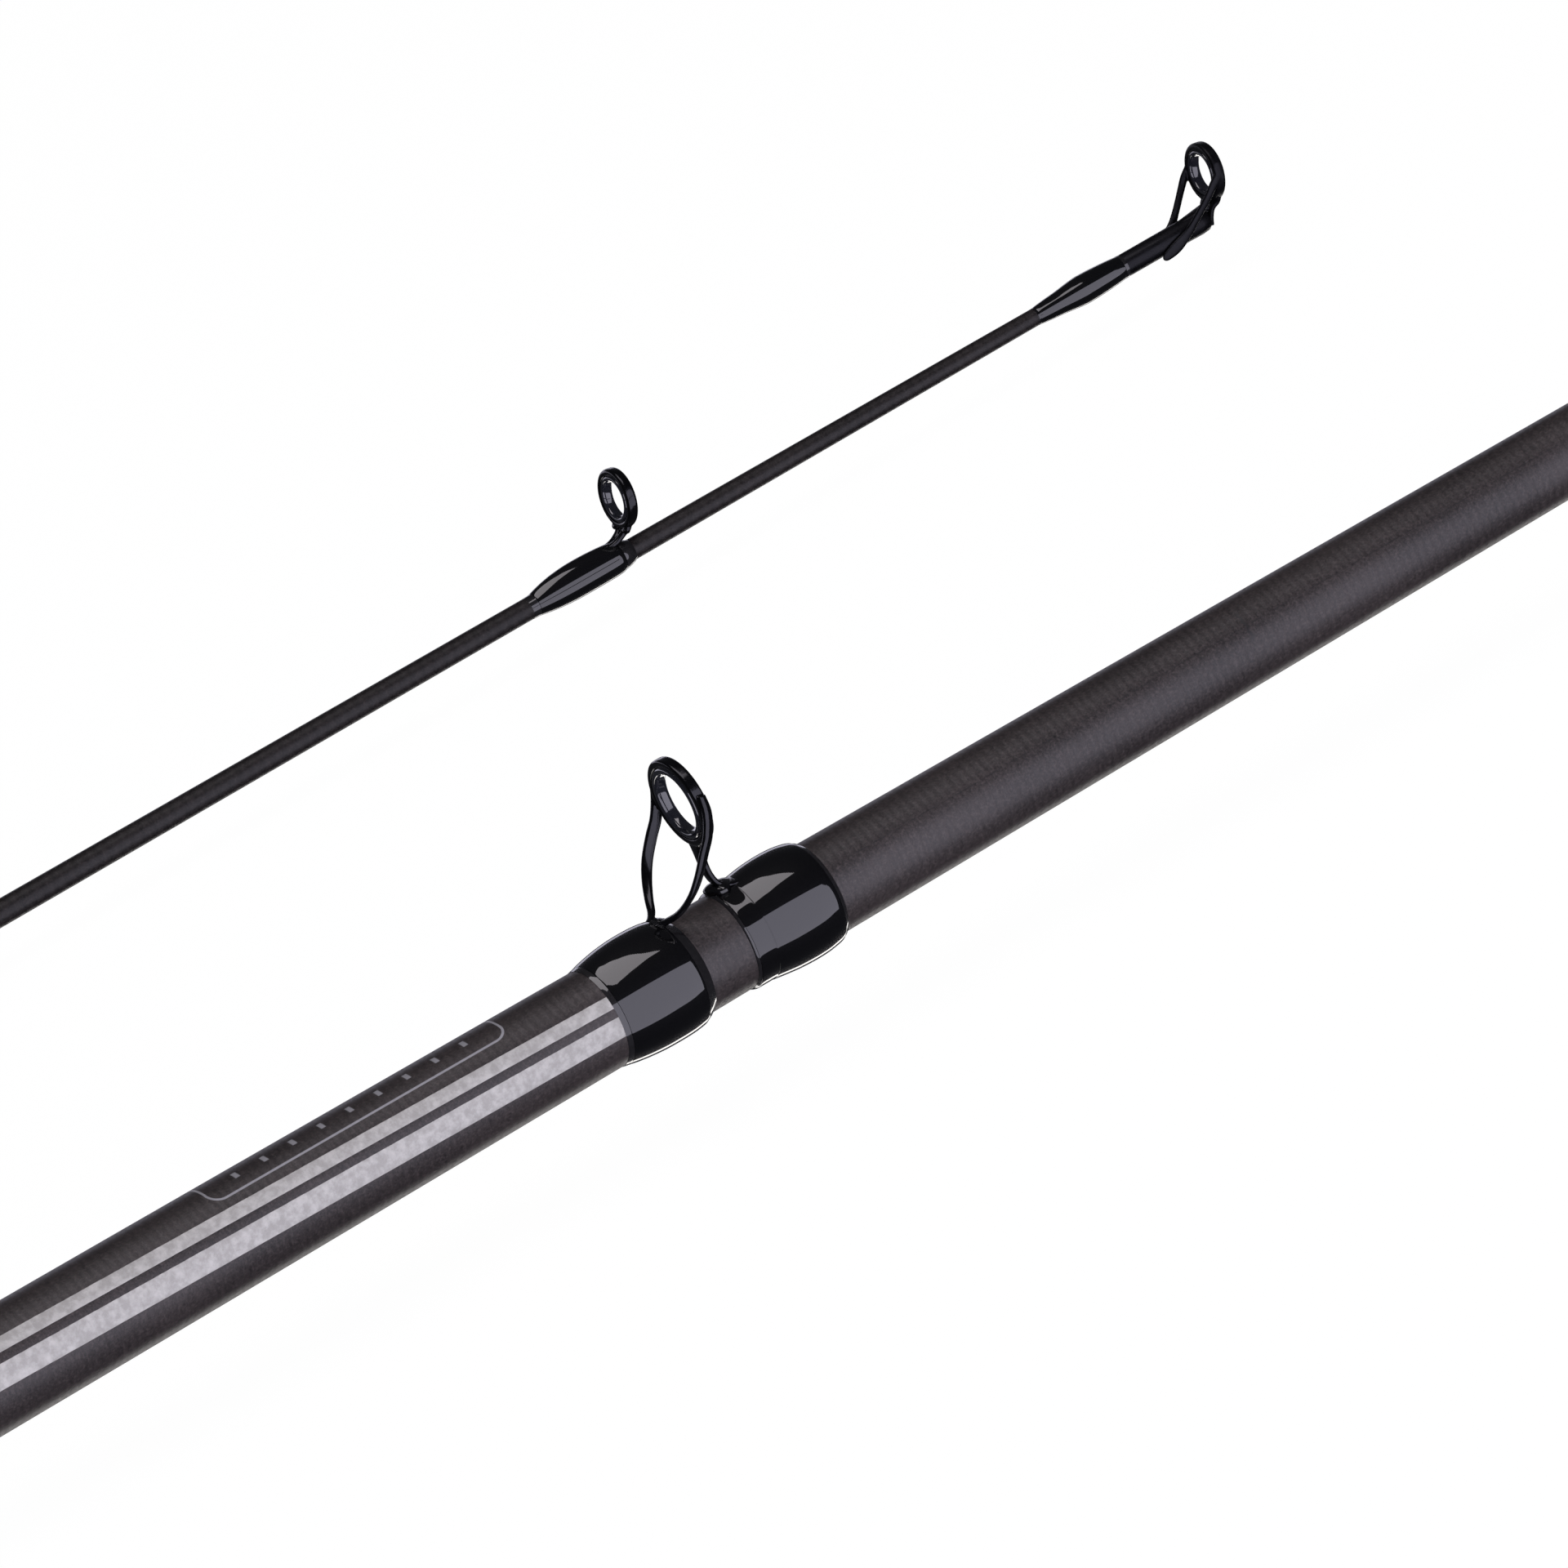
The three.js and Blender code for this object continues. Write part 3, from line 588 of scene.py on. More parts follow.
def level(stations, x):
    """The value at x on straight lines between (x, value) stations."""
    for (x0, v0), (x1, v1) in zip(stations, stations[1:]):
        if x <= x1:
            return v0 + (v1 - v0) * (x - x0) / (x1 - x0)
    return stations[-1][1]


def butt_r(x):
    return level(BUTT_STATIONS, x) / 2


def tip_r(x):
    return level(TIP_STATIONS, x - TIP_START) / 2


# what a wrap needs to know of the section that it is wound on
BUTT_SIDE = (butt_r, BUTT_AXIS, BUTT)
TIP_SIDE = (tip_r, TIP_AXIS, TIP)


def tube(radius_at, x0, x1, wall, step, sides, axis):
    """A hollow tube with its ends' outer edges bevelled."""
    bevel = 0.15
    count = max(2, int((x1 - x0) / step))
    xs = [x0 + (x1 - x0) * i / count for i in range(count + 1)]
    outer = [(x, radius_at(x)) for x in xs]
    outer[0] = (x0 + bevel, outer[0][1])
    outer[-1] = (x1 - bevel, outer[-1][1])
    outer = [(x0, outer[0][1] - bevel)] + outer + [(x1, outer[-1][1] - bevel)]
    inner = [(x, radius_at(x) - wall) for x in reversed(xs)]
    return turned(outer + inner, sides, axis)


butt_tube = tube(butt_r, 8, 1092, 1.0, 12, 128, BUTT_AXIS)
piece("butt_blank_tube", butt_tube, "butt_blank", BUTT, ["butt_blank"])

tip_xs = [TIP_START + 52 + 1037 * i / 110 for i in range(111)]
tip_profile = [(tip_xs[0], 0.0)] + [(x, tip_r(x)) for x in tip_xs] + [(tip_xs[-1], 0.0)]
tip_rod = solid_turned(tip_profile, 64, TIP_AXIS)
piece("tip_blank_rod", tip_rod, "tip_blank", TIP, ["tip_blank"])

sleeve_profile = [
    (0, 5.0), (0.12, 5.1), (0.35, 5.15), (30, 5.0), (60, 4.82), (67, 4.72), (71, 4.5), (73.4, 4.25),
    (74, 4.14), (74, 4.09), (50, 4.13), (50, 4.18), (0.4, 4.55), (0, 4.7),
]
sleeve = turned([(TIP_START + x, r) for x, r in sleeve_profile], 96, TIP_AXIS)
piece("ferrule_sleeve_tube", sleeve, "tip_blank", TIP, ["ferrule_sleeve"])

# ---------------------------------------- thread wraps


def top_lift(height, spread, x0, x1):
    """The low ridge that a guide's foot makes along the top of its wrap."""

    def shape(x, r, a):
        away = min(a, 2 * math.pi - a)
        t = min(max((x - x0) / (x1 - x0), 0.0), 1.0)
        return r + height * math.exp(-((away / spread) ** 2)) * math.sin(math.pi * t) ** 0.6

    return shape


def wrap(name, section, start, swell, stands_for, lift=0.0, sides=96):
    """A thread wrap. swell lists (x from start, height over the blank)."""
    radius_at, axis, body = section
    outer = [(start + x, radius_at(start + x) + h) for x, h in curve(swell, 64)]
    (x0, r0), (x1, r1) = outer[0], outer[-1]
    outer = [(x0, r0 - 0.06), (x0 + 0.04, r0), *outer[1:-1], (x1 - 0.04, r1), (x1, r1 - 0.08)]
    inner = [(x, radius_at(x) + 0.008) for x in (x1, (x0 + x1) / 2, x0)]
    ridge = top_lift(lift, 0.55, x0, x1)

    def lifted(x, r, a):
        return ridge(x, r, a) if r > radius_at(x) + 0.03 else r

    part = turned(outer + inner, sides, axis, lifted if lift else None)
    kind = "butt_wrap" if body == BUTT else "tip_wrap"
    piece(name, part, kind, body, stands_for)


def resin_end(name, section, start, profile, waver=0.0, sides=96):
    """A collar of resin. profile lists (x, height) from its thin edge to the thread."""
    radius_at, axis, body = section

    def edge(x, r, a):
        thin = profile[0][0] + start
        near = 1.0 - min(abs(x - thin) / 0.6, 1.0)
        return r + waver * near * (0.5 + 0.5 * math.sin(3 * a + 1.3) * math.sin(7 * a + 0.4))

    outer = [(start + x, radius_at(start + x) + h) for x, h in profile]
    inner = [(x, radius_at(x) + 0.004) for x, _ in reversed(outer)]
    part = turned(outer + inner, sides, axis, edge if waver else None)
    piece(name, part, "resin", body)


# (x from the first ring, height over the blank) of the thread behind and ahead of it
REAR_SWELL = [
    (-16.1, 0.15), (-15.5, 0.28), (-14.6, 0.44), (-13.3, 0.62), (-11.6, 0.77), (-9.8, 0.82),
    (-8.4, 0.8), (-7.3, 0.7), (-6.9, 0.62),
]
FRONT_SWELL = [
    (-0.1, 0.24), (0.2, 0.28), (1.9, 0.3), (2.2, 0.36), (3.4, 0.54), (5.0, 0.74), (6.8, 0.85),
    (8.4, 0.84), (9.7, 0.7), (10.3, 0.58),
]
for side, swell in (("rear", REAR_SWELL), ("front", FRONT_SWELL)):
    name = f"first_guide_{side}"
    wrap(name + "_thread", BUTT_SIDE, RING_X, swell, [name + "_wrap"], 0.26, 128)
for name, profile in (
    ("rear_resin_back", [(-16.7, 0.012), (-16.5, 0.07), (-16.3, 0.12), (-16.105, 0.15)]),
    ("rear_resin_front", [(-5.75, 0.012), (-6.0, 0.16), (-6.35, 0.36), (-6.895, 0.58)]),
    ("front_resin_back", [(-0.4, 0.012), (-0.32, 0.1), (-0.22, 0.18), (-0.105, 0.23)]),
    ("front_resin_front", [(10.9, 0.012), (10.82, 0.2), (10.66, 0.36), (10.305, 0.53)]),
):
    resin_end(name, BUTT_SIDE, RING_X, profile, 0.02, 128)

MID_SWELL = [(105, 0.12), (106, 0.3), (109, 0.5), (119, 0.5), (122, 0.3), (123, 0.12)]
wrap("mid_thread", BUTT_SIDE, 0, MID_SWELL, ["mid_wrap"])

# ---------------------------------------- first guide


def guide_ring(name, outer, hole, depth, place, lean, body, stands_for):
    """A polished ceramic ring: rounded lips and a gently curved bore."""
    profile = []
    wall = outer - hole
    count = 33
    for i in range(count):
        a = 2 * math.pi * i / count
        c, s = math.cos(a), math.sin(a)
        x = math.copysign(abs(c) ** 0.7, c) * depth / 2
        r = hole + wall / 2 + math.copysign(abs(s) ** 0.75, s) * wall / 2
        profile.append((x, r))
    part = moved(turned(profile, 96, (0.0, 0.0)), place, lean)
    piece(name, part, "ceramic", body, stands_for)


GUIDE_HEIGHT = 15.8
GUIDE_PLANE = RING_X + 0.36
GUIDE_CENTRE = (GUIDE_PLANE, 0, GUIDE_HEIGHT)
guide_ring("first_guide_ceramic", 4.05, 3.2, 1.45, GUIDE_CENTRE, 0, BUTT, ["first_guide_ring"])

# the rear legs run from the ring down to the rear foot, one on each side
leg_path = [
    (0.5, 4.7, 17.2), (0.3, 5.0, 15.4), (-0.5, 5.15, 13.4), (-1.7, 5.2, 11.8), (-3.0, 5.1, 10.0),
    (-4.1, 4.5, 8.4), (-5.2, 3.3, 6.95), (-6.1, 1.95, 6.1), (-7.2, 0.9, 5.8), (-8.6, 0.5, 5.75),
]
leg_width = [0.9, 1.15, 1.25, 1.25, 1.2, 1.1, 0.95, 0.85, 0.8, 0.9]
leg_thick = [0.75, 0.8, 0.75, 0.72, 0.7, 0.68, 0.66, 0.6, 0.55, 0.5]
frame_parts = [moved(ring(4.82, 4.0, 1.25, edge=0.26), GUIDE_CENTRE)]
for side in (-1, 1):
    path = [(RING_X + x, side * y, z) for x, y, z in leg_path]
    lie = {"wide": (1, -0.4 * side, 0), "wide_end": (0.1, -side, 0)}
    frame_parts.append(swept(path, leg_width, leg_thick, 60, **lie))
rear_foot = [(RING_X - 6.2, 0, 5.72), (RING_X - 8.6, 0, 5.68), (RING_X - 14, 0, 5.72)]
frame_parts.append(swept(rear_foot, [2.2, 2.6, 2.0], 0.5, 20))
# the front leg and foot are one strip
strip = [
    (0.36, 11.4), (0.25, 10.2), (0.2, 8.8), (0.35, 7.4), (0.8, 6.3), (1.7, 5.72), (4, 5.4), (9, 5.3),
]
strip_width = [3.2, 2.1, 1.6, 1.5, 1.7, 2.3, 2.6, 2.2]
strip_thick = [0.9, 0.8, 0.75, 0.72, 0.7, 0.62, 0.5, 0.45]
front_leg = [(RING_X + x, 0, z) for x, z in strip]
frame_parts.append(swept(front_leg, strip_width, strip_thick, 60))
fused(
    "first_guide_double_foot", joined(*frame_parts), 0.09, 5, 0.55,
    "guide", BUTT, ["first_guide_frame"],
)


def resin_bead(name, centre, size, seed):
    """A small smooth lobe of resin, set against a leg's root."""
    verts = []
    rows, sides = 12, 20
    for i in range(1, rows):
        p = math.pi * i / rows
        for j in range(sides):
            a = 2 * math.pi * j / sides
            swell = 1 + 0.16 * math.sin(3 * a + seed) * math.sin(p) + 0.1 * math.sin(2 * p + seed)
            verts.append((
                centre[0] + size[0] * swell * math.sin(p) * math.cos(a),
                centre[1] + size[1] * swell * math.sin(p) * math.sin(a),
                centre[2] + size[2] * math.cos(p),
            ))
    faces = bands(rows - 1, sides)
    first, last = len(verts), len(verts) + 1
    x, y, z = centre
    verts += [(x, y, z + size[2]), (x, y, z - size[2])]
    for j in range(sides):
        k = (j + 1) % sides
        faces.append((first, j, k))
        faces.append((last, (rows - 2) * sides + k, (rows - 2) * sides + j))
    piece(name, (verts, faces), "butt_wrap", BUTT)


resin_bead("root_bead_front", (RING_X + 0.9, 0, 5.5), (1.5, 1.5, 0.85), 0.4)
resin_bead("root_bead_rear", (RING_X - 6.9, 0, 5.5), (1.1, 1.9, 0.55), 1.7)

# ---------------------------------------- tip section guides

# back from the tip, ring radius, its height over the axis, the foot's length
RUNNING = [
    (75.9, 2.6, 5.85, 12.5), (166, 2.6, 5.95, 12.5), (270, 2.6, 6.3, 13), (392, 2.75, 7.0, 13.5),
    (536, 2.95, 8.0, 14), (706, 3.3, 9.6, 15), (900, 3.7, 11.8, 16),
]
RING_LEAN = 10.0


def running_guide(index, back, ring_r, height, length):
    """A single-foot guide: its ceramic, its frame and the wrap that holds its foot."""
    name = f"guide_{index}"
    x = END - back
    ay, az = TIP_AXIS
    front = x - 1.7
    band = ring_r + 0.62
    surface = tip_r(front)
    lift = height - surface
    centre = (x, ay, az + height)
    ceramic = (ring_r - 0.02, ring_r * 0.76, 1.25)
    guide_ring(name + "_ceramic", *ceramic, centre, RING_LEAN, TIP, [name + "_ring"])
    parts = [moved(ring(band + 0.06, ring_r - 0.1, 1.2, 60, 0.34, 5), centre, RING_LEAN)]
    foot = az + surface + 0.3
    for side in (-1, 1):
        path = [
            (x - 0.16 * band, ay + side * band * 0.36, az + height - band * 0.9),
            (x - 0.12 * lift - 0.3, ay + side * band * 0.38, az + surface + lift * 0.33),
            (x - 0.9, ay + side * 0.6, foot + 0.75 + 0.04 * lift),
            (front - 0.6, ay + side * 0.36, foot + 0.22),
            (front - 2.6, ay + side * 0.2, foot + 0.05),
        ]
        parts.append(swept(path, [0.8, 0.85, 0.8, 0.8, 0.8], [0.6, 0.65, 0.68, 0.6, 0.5], 30, 12))
    rear_surface = az + tip_r(front - length)
    foot_path = [
        (front - 0.8, ay, foot + 0.05),
        (front - length / 2, ay, foot),
        (front - length + 2, ay, rear_surface + 0.2),
    ]
    parts.append(swept(foot_path, [1.1, 1.1, 0.7], [0.5, 0.45, 0.3], 12, 12))
    fused(
        name + "_single_foot", joined(*parts), 0.09, 4, 0.5,
        "guide", TIP, [name + "_frame"],
    )
    back_end = -length
    swell = [
        (back_end + 0.9, 0.06), (back_end + 1.6, 0.18), (back_end + 2.8, 0.36),
        (back_end + 4.2, 0.5), (back_end / 2, 0.6), (-2.6, 0.6), (-1.2, 0.55), (-0.55, 0.42),
    ]
    wrap(name + "_thread", TIP_SIDE, front, swell, [name + "_wrap"], 0.42, 80)
    skirt = [(back_end, 0.01), (back_end + 0.4, 0.03), (back_end + 0.895, 0.055)]
    resin_end(name + "_resin_back", TIP_SIDE, front, skirt, 0.0, 64)
    skirt = [(0.95, 0.01), (0.7, 0.14), (0.3, 0.26), (-0.2, 0.36), (-0.545, 0.39)]
    resin_end(name + "_resin_front", TIP_SIDE, front, skirt, 0.03, 64)


for number, row in enumerate(RUNNING, 1):
    running_guide(number, *row)

# ---------------------------------------- tip-top

AY, AZ = TIP_AXIS


def tip_path(points, side=1):
    """A path by the tip-top from (x past the tip, y out from the axis, z over it)."""
    return [(END + x, AY + side * y, AZ + z) for x, y, z in points]


def tiptop():
    """The tip-top: a barrel over the blank's end, a fork, a brace and the last ceramic."""
    lean = 11.0
    x, z = END + 1.6, AZ + 4.72
    guide_ring("tiptop_ceramic", 2.55, 1.98, 1.3, (x, AY, z), lean, TIP, ["tiptop_ring"])
    barrel = [
        (-17.2, 0.0), (-17.2, 1.15), (-17.0, 1.27), (-3, 1.27), (-1.4, 1.31), (-0.5, 1.22),
        (-0.1, 0.95), (0, 0.6), (0, 0.0),
    ]
    barrel = solid_turned([(END + along, r) for along, r in barrel], 64, TIP_AXIS)
    piece("tiptop_barrel", barrel, "barrel", TIP, ["tiptop_tube"])
    parts = [moved(ring(3.25, 2.45, 1.25, 60, 0.3, 4), (x, AY, z), lean)]
    for side in (-1, 1):
        leg = [
            (1.9, 2.75, 6.12), (1.6, 3.0, 5.02), (0.5, 2.95, 4.1), (-0.5, 2.75, 3.1), (-2.2, 2.2, 1.5),
            (-3.6, 1.8, 0.35), (-5.3, 1.58, -0.5), (-6.8, 1.42, -0.98), (-7.25, 1.36, -1.1),
        ]
        leg_width = [0.5, 0.55, 0.55, 0.55, 0.55, 0.55, 0.5, 0.42, 0.2]
        leg_thick = [0.8, 1.0, 0.95, 0.85, 0.85, 1.05, 1.4, 1.0, 0.3]
        parts.append(swept(tip_path(leg, side), leg_width, leg_thick, 50, 12))
    for side in (-1, 1):
        neck = [(1.25, 1.5, 2.17), (1.05, 1.25, 1.62), (0.45, 0.95, 1.1), (0.05, 0.7, 0.2), (-0.1, 0.5, -0.7)]
        neck_width = [1.0, 0.85, 0.75, 0.8, 0.8]
        parts.append(swept(tip_path(neck, side), neck_width, [0.6, 0.58, 0.55, 0.55, 0.5], 30, 12))
    web = tip_path([(0.35, 0, 0.6), (0.1, 0, 0.1), (-0.05, 0, -0.75)])
    parts.append(swept(web, [1.9, 2.1, 0.9], [0.5, 0.5, 0.35], 10, 12))
    brace = tip_path([(-4.5, 0, 0.95), (-1.2, 0, 1.1), (0.5, 0, 1.35), (1.0, 0, 1.7)])
    parts.append(swept(brace, [0.7, 1.5, 1.7, 2.2], [0.4, 0.7, 0.6, 0.5], 16, 12))
    fused(
        "tiptop_fork", joined(*parts), 0.08, 4, 0.5,
        "barrel", TIP, ["tiptop_frame"],
    )

    # the wrap climbs the step from the blank up on to the barrel
    cover = [
        (-23.1, 0.93), (-22.6, 1.02), (-21.5, 1.14), (-19.8, 1.28), (-18.0, 1.50), (-16.9, 1.60),
        (-15.5, 1.57), (-14.0, 1.49), (-12.8, 1.40), (-12.1, 1.33), (-11.7, 1.29),
    ]
    wrap_x0, step_x, wrap_x1 = END - 23.1, END - 17.3, END - 11.7
    stops = [wrap_x0 + 11.4 * i / 40 for i in range(41)]
    outer = [(at, level(cover, at - END)) for at in stops]
    outer[0] = (stops[0], outer[0][1] - 0.05)
    outer[-1] = (stops[-1], 1.285)
    inner = [(wrap_x1, 1.275), (END - 17.2, 1.275)]
    inner += [(at, tip_r(at) + 0.008) for at in (step_x, wrap_x0)]
    thread = turned(outer + inner, 80, TIP_AXIS)
    piece("tiptop_thread", thread, "tip_wrap", TIP, ["tiptop_wrap"])
    on_barrel = (lambda at: 1.27, TIP_AXIS, TIP)
    skirt = [(-11.3, 0.01), (-11.5, 0.025), (-11.695, 0.03)]
    resin_end("tiptop_resin_front", on_barrel, END, skirt, 0.0, 64)


tiptop()

# ---------------------------------------- handle


def handle(name, outer, material, stands_for):
    """A turned part of the handle. outer lists (x, r), and the bore follows the blank."""
    x0, x1 = outer[0][0], outer[-1][0]
    bore = [(x, butt_r(x) + 0.02) for x in (x1, (x0 + x1) / 2, x0)]
    piece(name, turned(outer + bore, 128), material, BUTT, stands_for)


def stretched(outline, x0, x1, r, reverse):
    """An outline of (share of the length, share of r) laid from x0 to x1."""
    rows = [(x0 + (x1 - x0) * (1 - t if reverse else t), r * share) for t, share in outline]
    return rows[::-1] if reverse else rows


def grip(name, x0, x1, r, reverse, stands_for):
    """A foam grip, full near its first end and slim at the other."""
    outline = [
        (0.0, 0.885), (0.006, 0.93), (0.02, 0.965), (0.05, 0.99), (0.1, 1.0), (0.22, 0.992),
        (0.38, 0.965), (0.55, 0.945), (0.72, 0.936), (0.86, 0.925), (0.95, 0.90), (0.985, 0.865),
        (1.0, 0.82),
    ]
    rows = stretched(outline, x0, x1, r, reverse)
    handle(name, curve(rows, 80), "foam", stands_for)


grip("butt_grip_foam", 19.1, 96.0, 13.6, False, ["butt_grip"])
grip("rear_grip_foam", 207.0, 268.0, 13.2, True, ["rear_grip"])
grip("fore_grip_foam", 396.1, 462.0, 13.4, False, ["fore_grip"])


def check(name, x0, x1, r, reverse, stands_for):
    """A turned winding check: a rolled rim, a groove, then a cone down to the blank."""
    outline = [
        (0.0, 0.95), (0.03, 0.985), (0.08, 1.0), (0.24, 1.0), (0.29, 0.985), (0.31, 0.955),
        (0.35, 0.945), (0.39, 0.955), (0.41, 0.965), (0.6, 0.86), (0.8, 0.76), (0.93, 0.70),
        (0.98, 0.68), (1.0, 0.66),
    ]
    handle(name, stretched(outline, x0, x1, r, reverse), "trim", stands_for)


check("butt_winding_check", 96.1, 103.0, 11.4, False, ["butt_check"])
check("rear_winding_check", 200.0, 206.9, 11.4, True, ["rear_check"])
check("fore_winding_check", 462.1, 469.0, 10.6, False, ["fore_check"])
trim_ring = [
    (16.1, 13.6), (16.2, 13.95), (16.45, 14.15), (17.0, 14.2), (17.35, 14.2), (17.45, 13.95),
    (17.65, 13.95), (17.75, 14.2), (18.2, 14.2), (18.7, 14.1), (18.95, 13.85), (19.0, 13.5),
]
handle("butt_trim_ring", trim_ring, "trim", ["butt_ring"])


def butt_cap():
    """The rubber cap: a dished end and four grooves round its side."""
    grooves = []
    for i in range(4):
        x = 5.0 + i * 2.1
        grooves += [(x, 14.5), (x + 0.15, 14.2), (x + 0.75, 14.2), (x + 0.9, 14.5)]
    outer = [
        (0.5, 0.0), (0.5, 9.0), (0.35, 9.4), (0.05, 9.7), (0.0, 10.0), (0.0, 11.9), (0.15, 12.6),
        (0.6, 13.3), (1.3, 13.95), (2.2, 14.35), (3.2, 14.5),
    ]
    bore = butt_r(16) + 0.03
    outer += grooves + [(14.6, 14.5), (15.4, 14.4), (15.9, 14.1), (16.0, 13.8)]
    outer += [(16.0, bore), (8.0, bore + 0.01), (8.0, 0.0)]
    cap = solid_turned(outer, 128)
    piece("butt_cap_rubber", cap, "rubber", BUTT, ["butt_cap"])


butt_cap()

# ---------------------------------------- reel seat


def carve(obj, part, name):
    """Cuts a part out of an object."""
    cutter = solid(name, part)
    cut = obj.modifiers.new("cut", "BOOLEAN")
    cut.operation = "DIFFERENCE"
    cut.object = cutter
    cut.solver = "EXACT"
    result = evaluated(obj)
    obj.modifiers.clear()
    obj.data = result
    bpy.data.objects.remove(cutter)
    result.set_sharp_from_angle(angle=SHARP)


def block(x0, x1, y0, y1, z0, z1, chamfer=0.4):
    """A box with chamfered long edges, along X."""
    c = chamfer
    section = [(y0 + c, z0), (y1 - c, z0), (y1, z0 + c), (y1, z1 - c)]
    section += [(y1 - c, z1), (y0 + c, z1), (y0, z1 - c), (y0, z0 + c)]
    verts = [(x, y, z) for x in (x0, x1) for y, z in section]
    n = len(section)
    faces = [(i, (i + 1) % n, n + (i + 1) % n, n + i) for i in range(n)]
    faces += [tuple(range(n - 1, -1, -1)), tuple(range(n, 2 * n))]
    return verts, faces


SEAT_X = (268.1, 396.0)
THREAD_X = (354, 392)
THREAD_PITCH = 2.0


def seat():
    """The seat's tube: a smooth rear, a helical thread in front, and a flat deck cut on top."""
    x0, x1 = SEAT_X
    thread0, thread1 = THREAD_X
    stations = [268.1, 268.4, 270, 274, 280, 290, 300, 312, 324, 336, 346, 352, 353.6]
    stations += [thread0 + i * 0.2 for i in range(191)]
    stations += [392.4, 394, 395.6, 396.0]

    def thread(x, r, a):
        if r < 9 or x < thread0 or x > thread1:
            return r
        phase = ((x - thread0) / THREAD_PITCH + a / (2 * math.pi)) % 1.0
        ridge = max(0.0, 1 - abs(phase - 0.5) * 3.2)
        fade = min(1.0, (x - thread0) / 1.2, (thread1 - x) / 1.2)
        return r - 0.62 * fade + 0.6 * fade * min(1.0, ridge * 1.5)

    outer = [(x, 9.75 if x in SEAT_X else 10.0) for x in stations]
    part = turned(outer + [(x1, 7.6), (x0, 7.6)], shape=thread)
    tube_piece = piece("reel_seat_tube", part, "seat", BUTT, ["reel_seat"])
    carve(tube_piece, block(278.2, 352, -12, 12, 8.9, 14, 0.1), "deck_cut")
    carve(tube_piece, block(296, 338, -3.0, 3.0, 8.55, 10, 0.25), "deck_recess")


seat()


def hood_radius(a, t):
    """A hood's outer radius at angle a from the top; t is 0 at its closed end, 1 at its mouth."""
    swell = math.sin(min(t / 0.35, 1.0) * math.pi / 2)
    base = 10.9 + 1.45 * swell
    hump_r, hump_z = 9.5 * (0.86 + 0.14 * swell), 6.4 * swell
    reach = hump_r ** 2 - (hump_z * math.sin(a)) ** 2
    hump = hump_z * math.cos(a) + math.sqrt(max(reach, 0.0))
    if hump <= base - 3:
        return base
    # the two radii run into each other over about this many millimetres
    k = 0.9
    return math.log(math.exp(base / k) + math.exp(hump / k)) * k - k * math.log(2) * 0.5


def hood(name, x0, x1, mouth, body, stands_for):
    """A shell with a raised hump for the reel's foot, its mouth facing +X or -X."""
    sides = 96
    bore = 10.06
    # along the hood from its closed end, and how far the edge stands out there
    edge = {
        0.0: -0.45, 0.015: -0.18, 0.04: 0, 0.08: 0, 0.14: 0, 0.22: 0, 0.32: 0, 0.45: 0, 0.6: 0,
        0.75: 0, 0.88: 0, 0.93: 0.0, 0.95: 0.12, 0.97: 0.16, 0.985: 0.08, 1.0: -0.25,
    }
    angles = [2 * math.pi * j / sides for j in range(sides)]
    xs = [x0 + (x1 - x0) * (1 - t if mouth < 0 else t) for t in edge]
    verts = []
    for x, (t, lip) in zip(xs, edge.items()):
        for a in angles:
            most = 12.35 + (3.55 if math.cos(a) > 0 else 0)
            r = min(hood_radius(a, t) + lip, most)
            verts.append((x, -r * math.sin(a), r * math.cos(a)))
    faces = bands(len(xs), sides)
    base = len(verts)
    for x in (xs[-1], xs[0]):
        verts += [(x, -bore * math.sin(a), bore * math.cos(a)) for a in angles]
    last = (len(xs) - 1) * sides
    for j in range(sides):
        k = (j + 1) % sides
        faces.append((last + j, last + k, base + k, base + j))
        faces.append((base + j, base + k, base + sides + k, base + sides + j))
        faces.append((base + sides + j, base + sides + k, k, j))
    shell = piece(name, (verts, faces), "hood", body, stands_for)
    if mouth < 0:
        pocket = block(x0 - 1, x0 + 12.8, -7.8, 7.8, 7.9, 14.2, 1.2)
    else:
        pocket = block(x1 - 16, x1 + 1, -7.0, 7.0, 7.9, 13.4, 1.2)
    carve(shell, pocket, name + "_pocket")


hood("fixed_hood_shell", SEAT_X[0], 294.0, 1, BUTT, ["fixed_hood"])
hood("sliding_hood_shell", 346.0, 364.0, -1, "hood", ["sliding_hood"])
pad = block(346.3, 358.7, -7.72, 7.72, 7.95, 14.12, 1.15)
liner = piece("hood_liner_pad", pad, "rubber", "hood", ["hood_liner"])
carve(liner, block(345, 358, -7.0, 7.0, 7.0, 13.4, 1.0), "liner_pocket")
carve(liner, turned([(340, 10.07), (365, 10.07), (365, 2), (340, 2)], 96), "liner_bore")


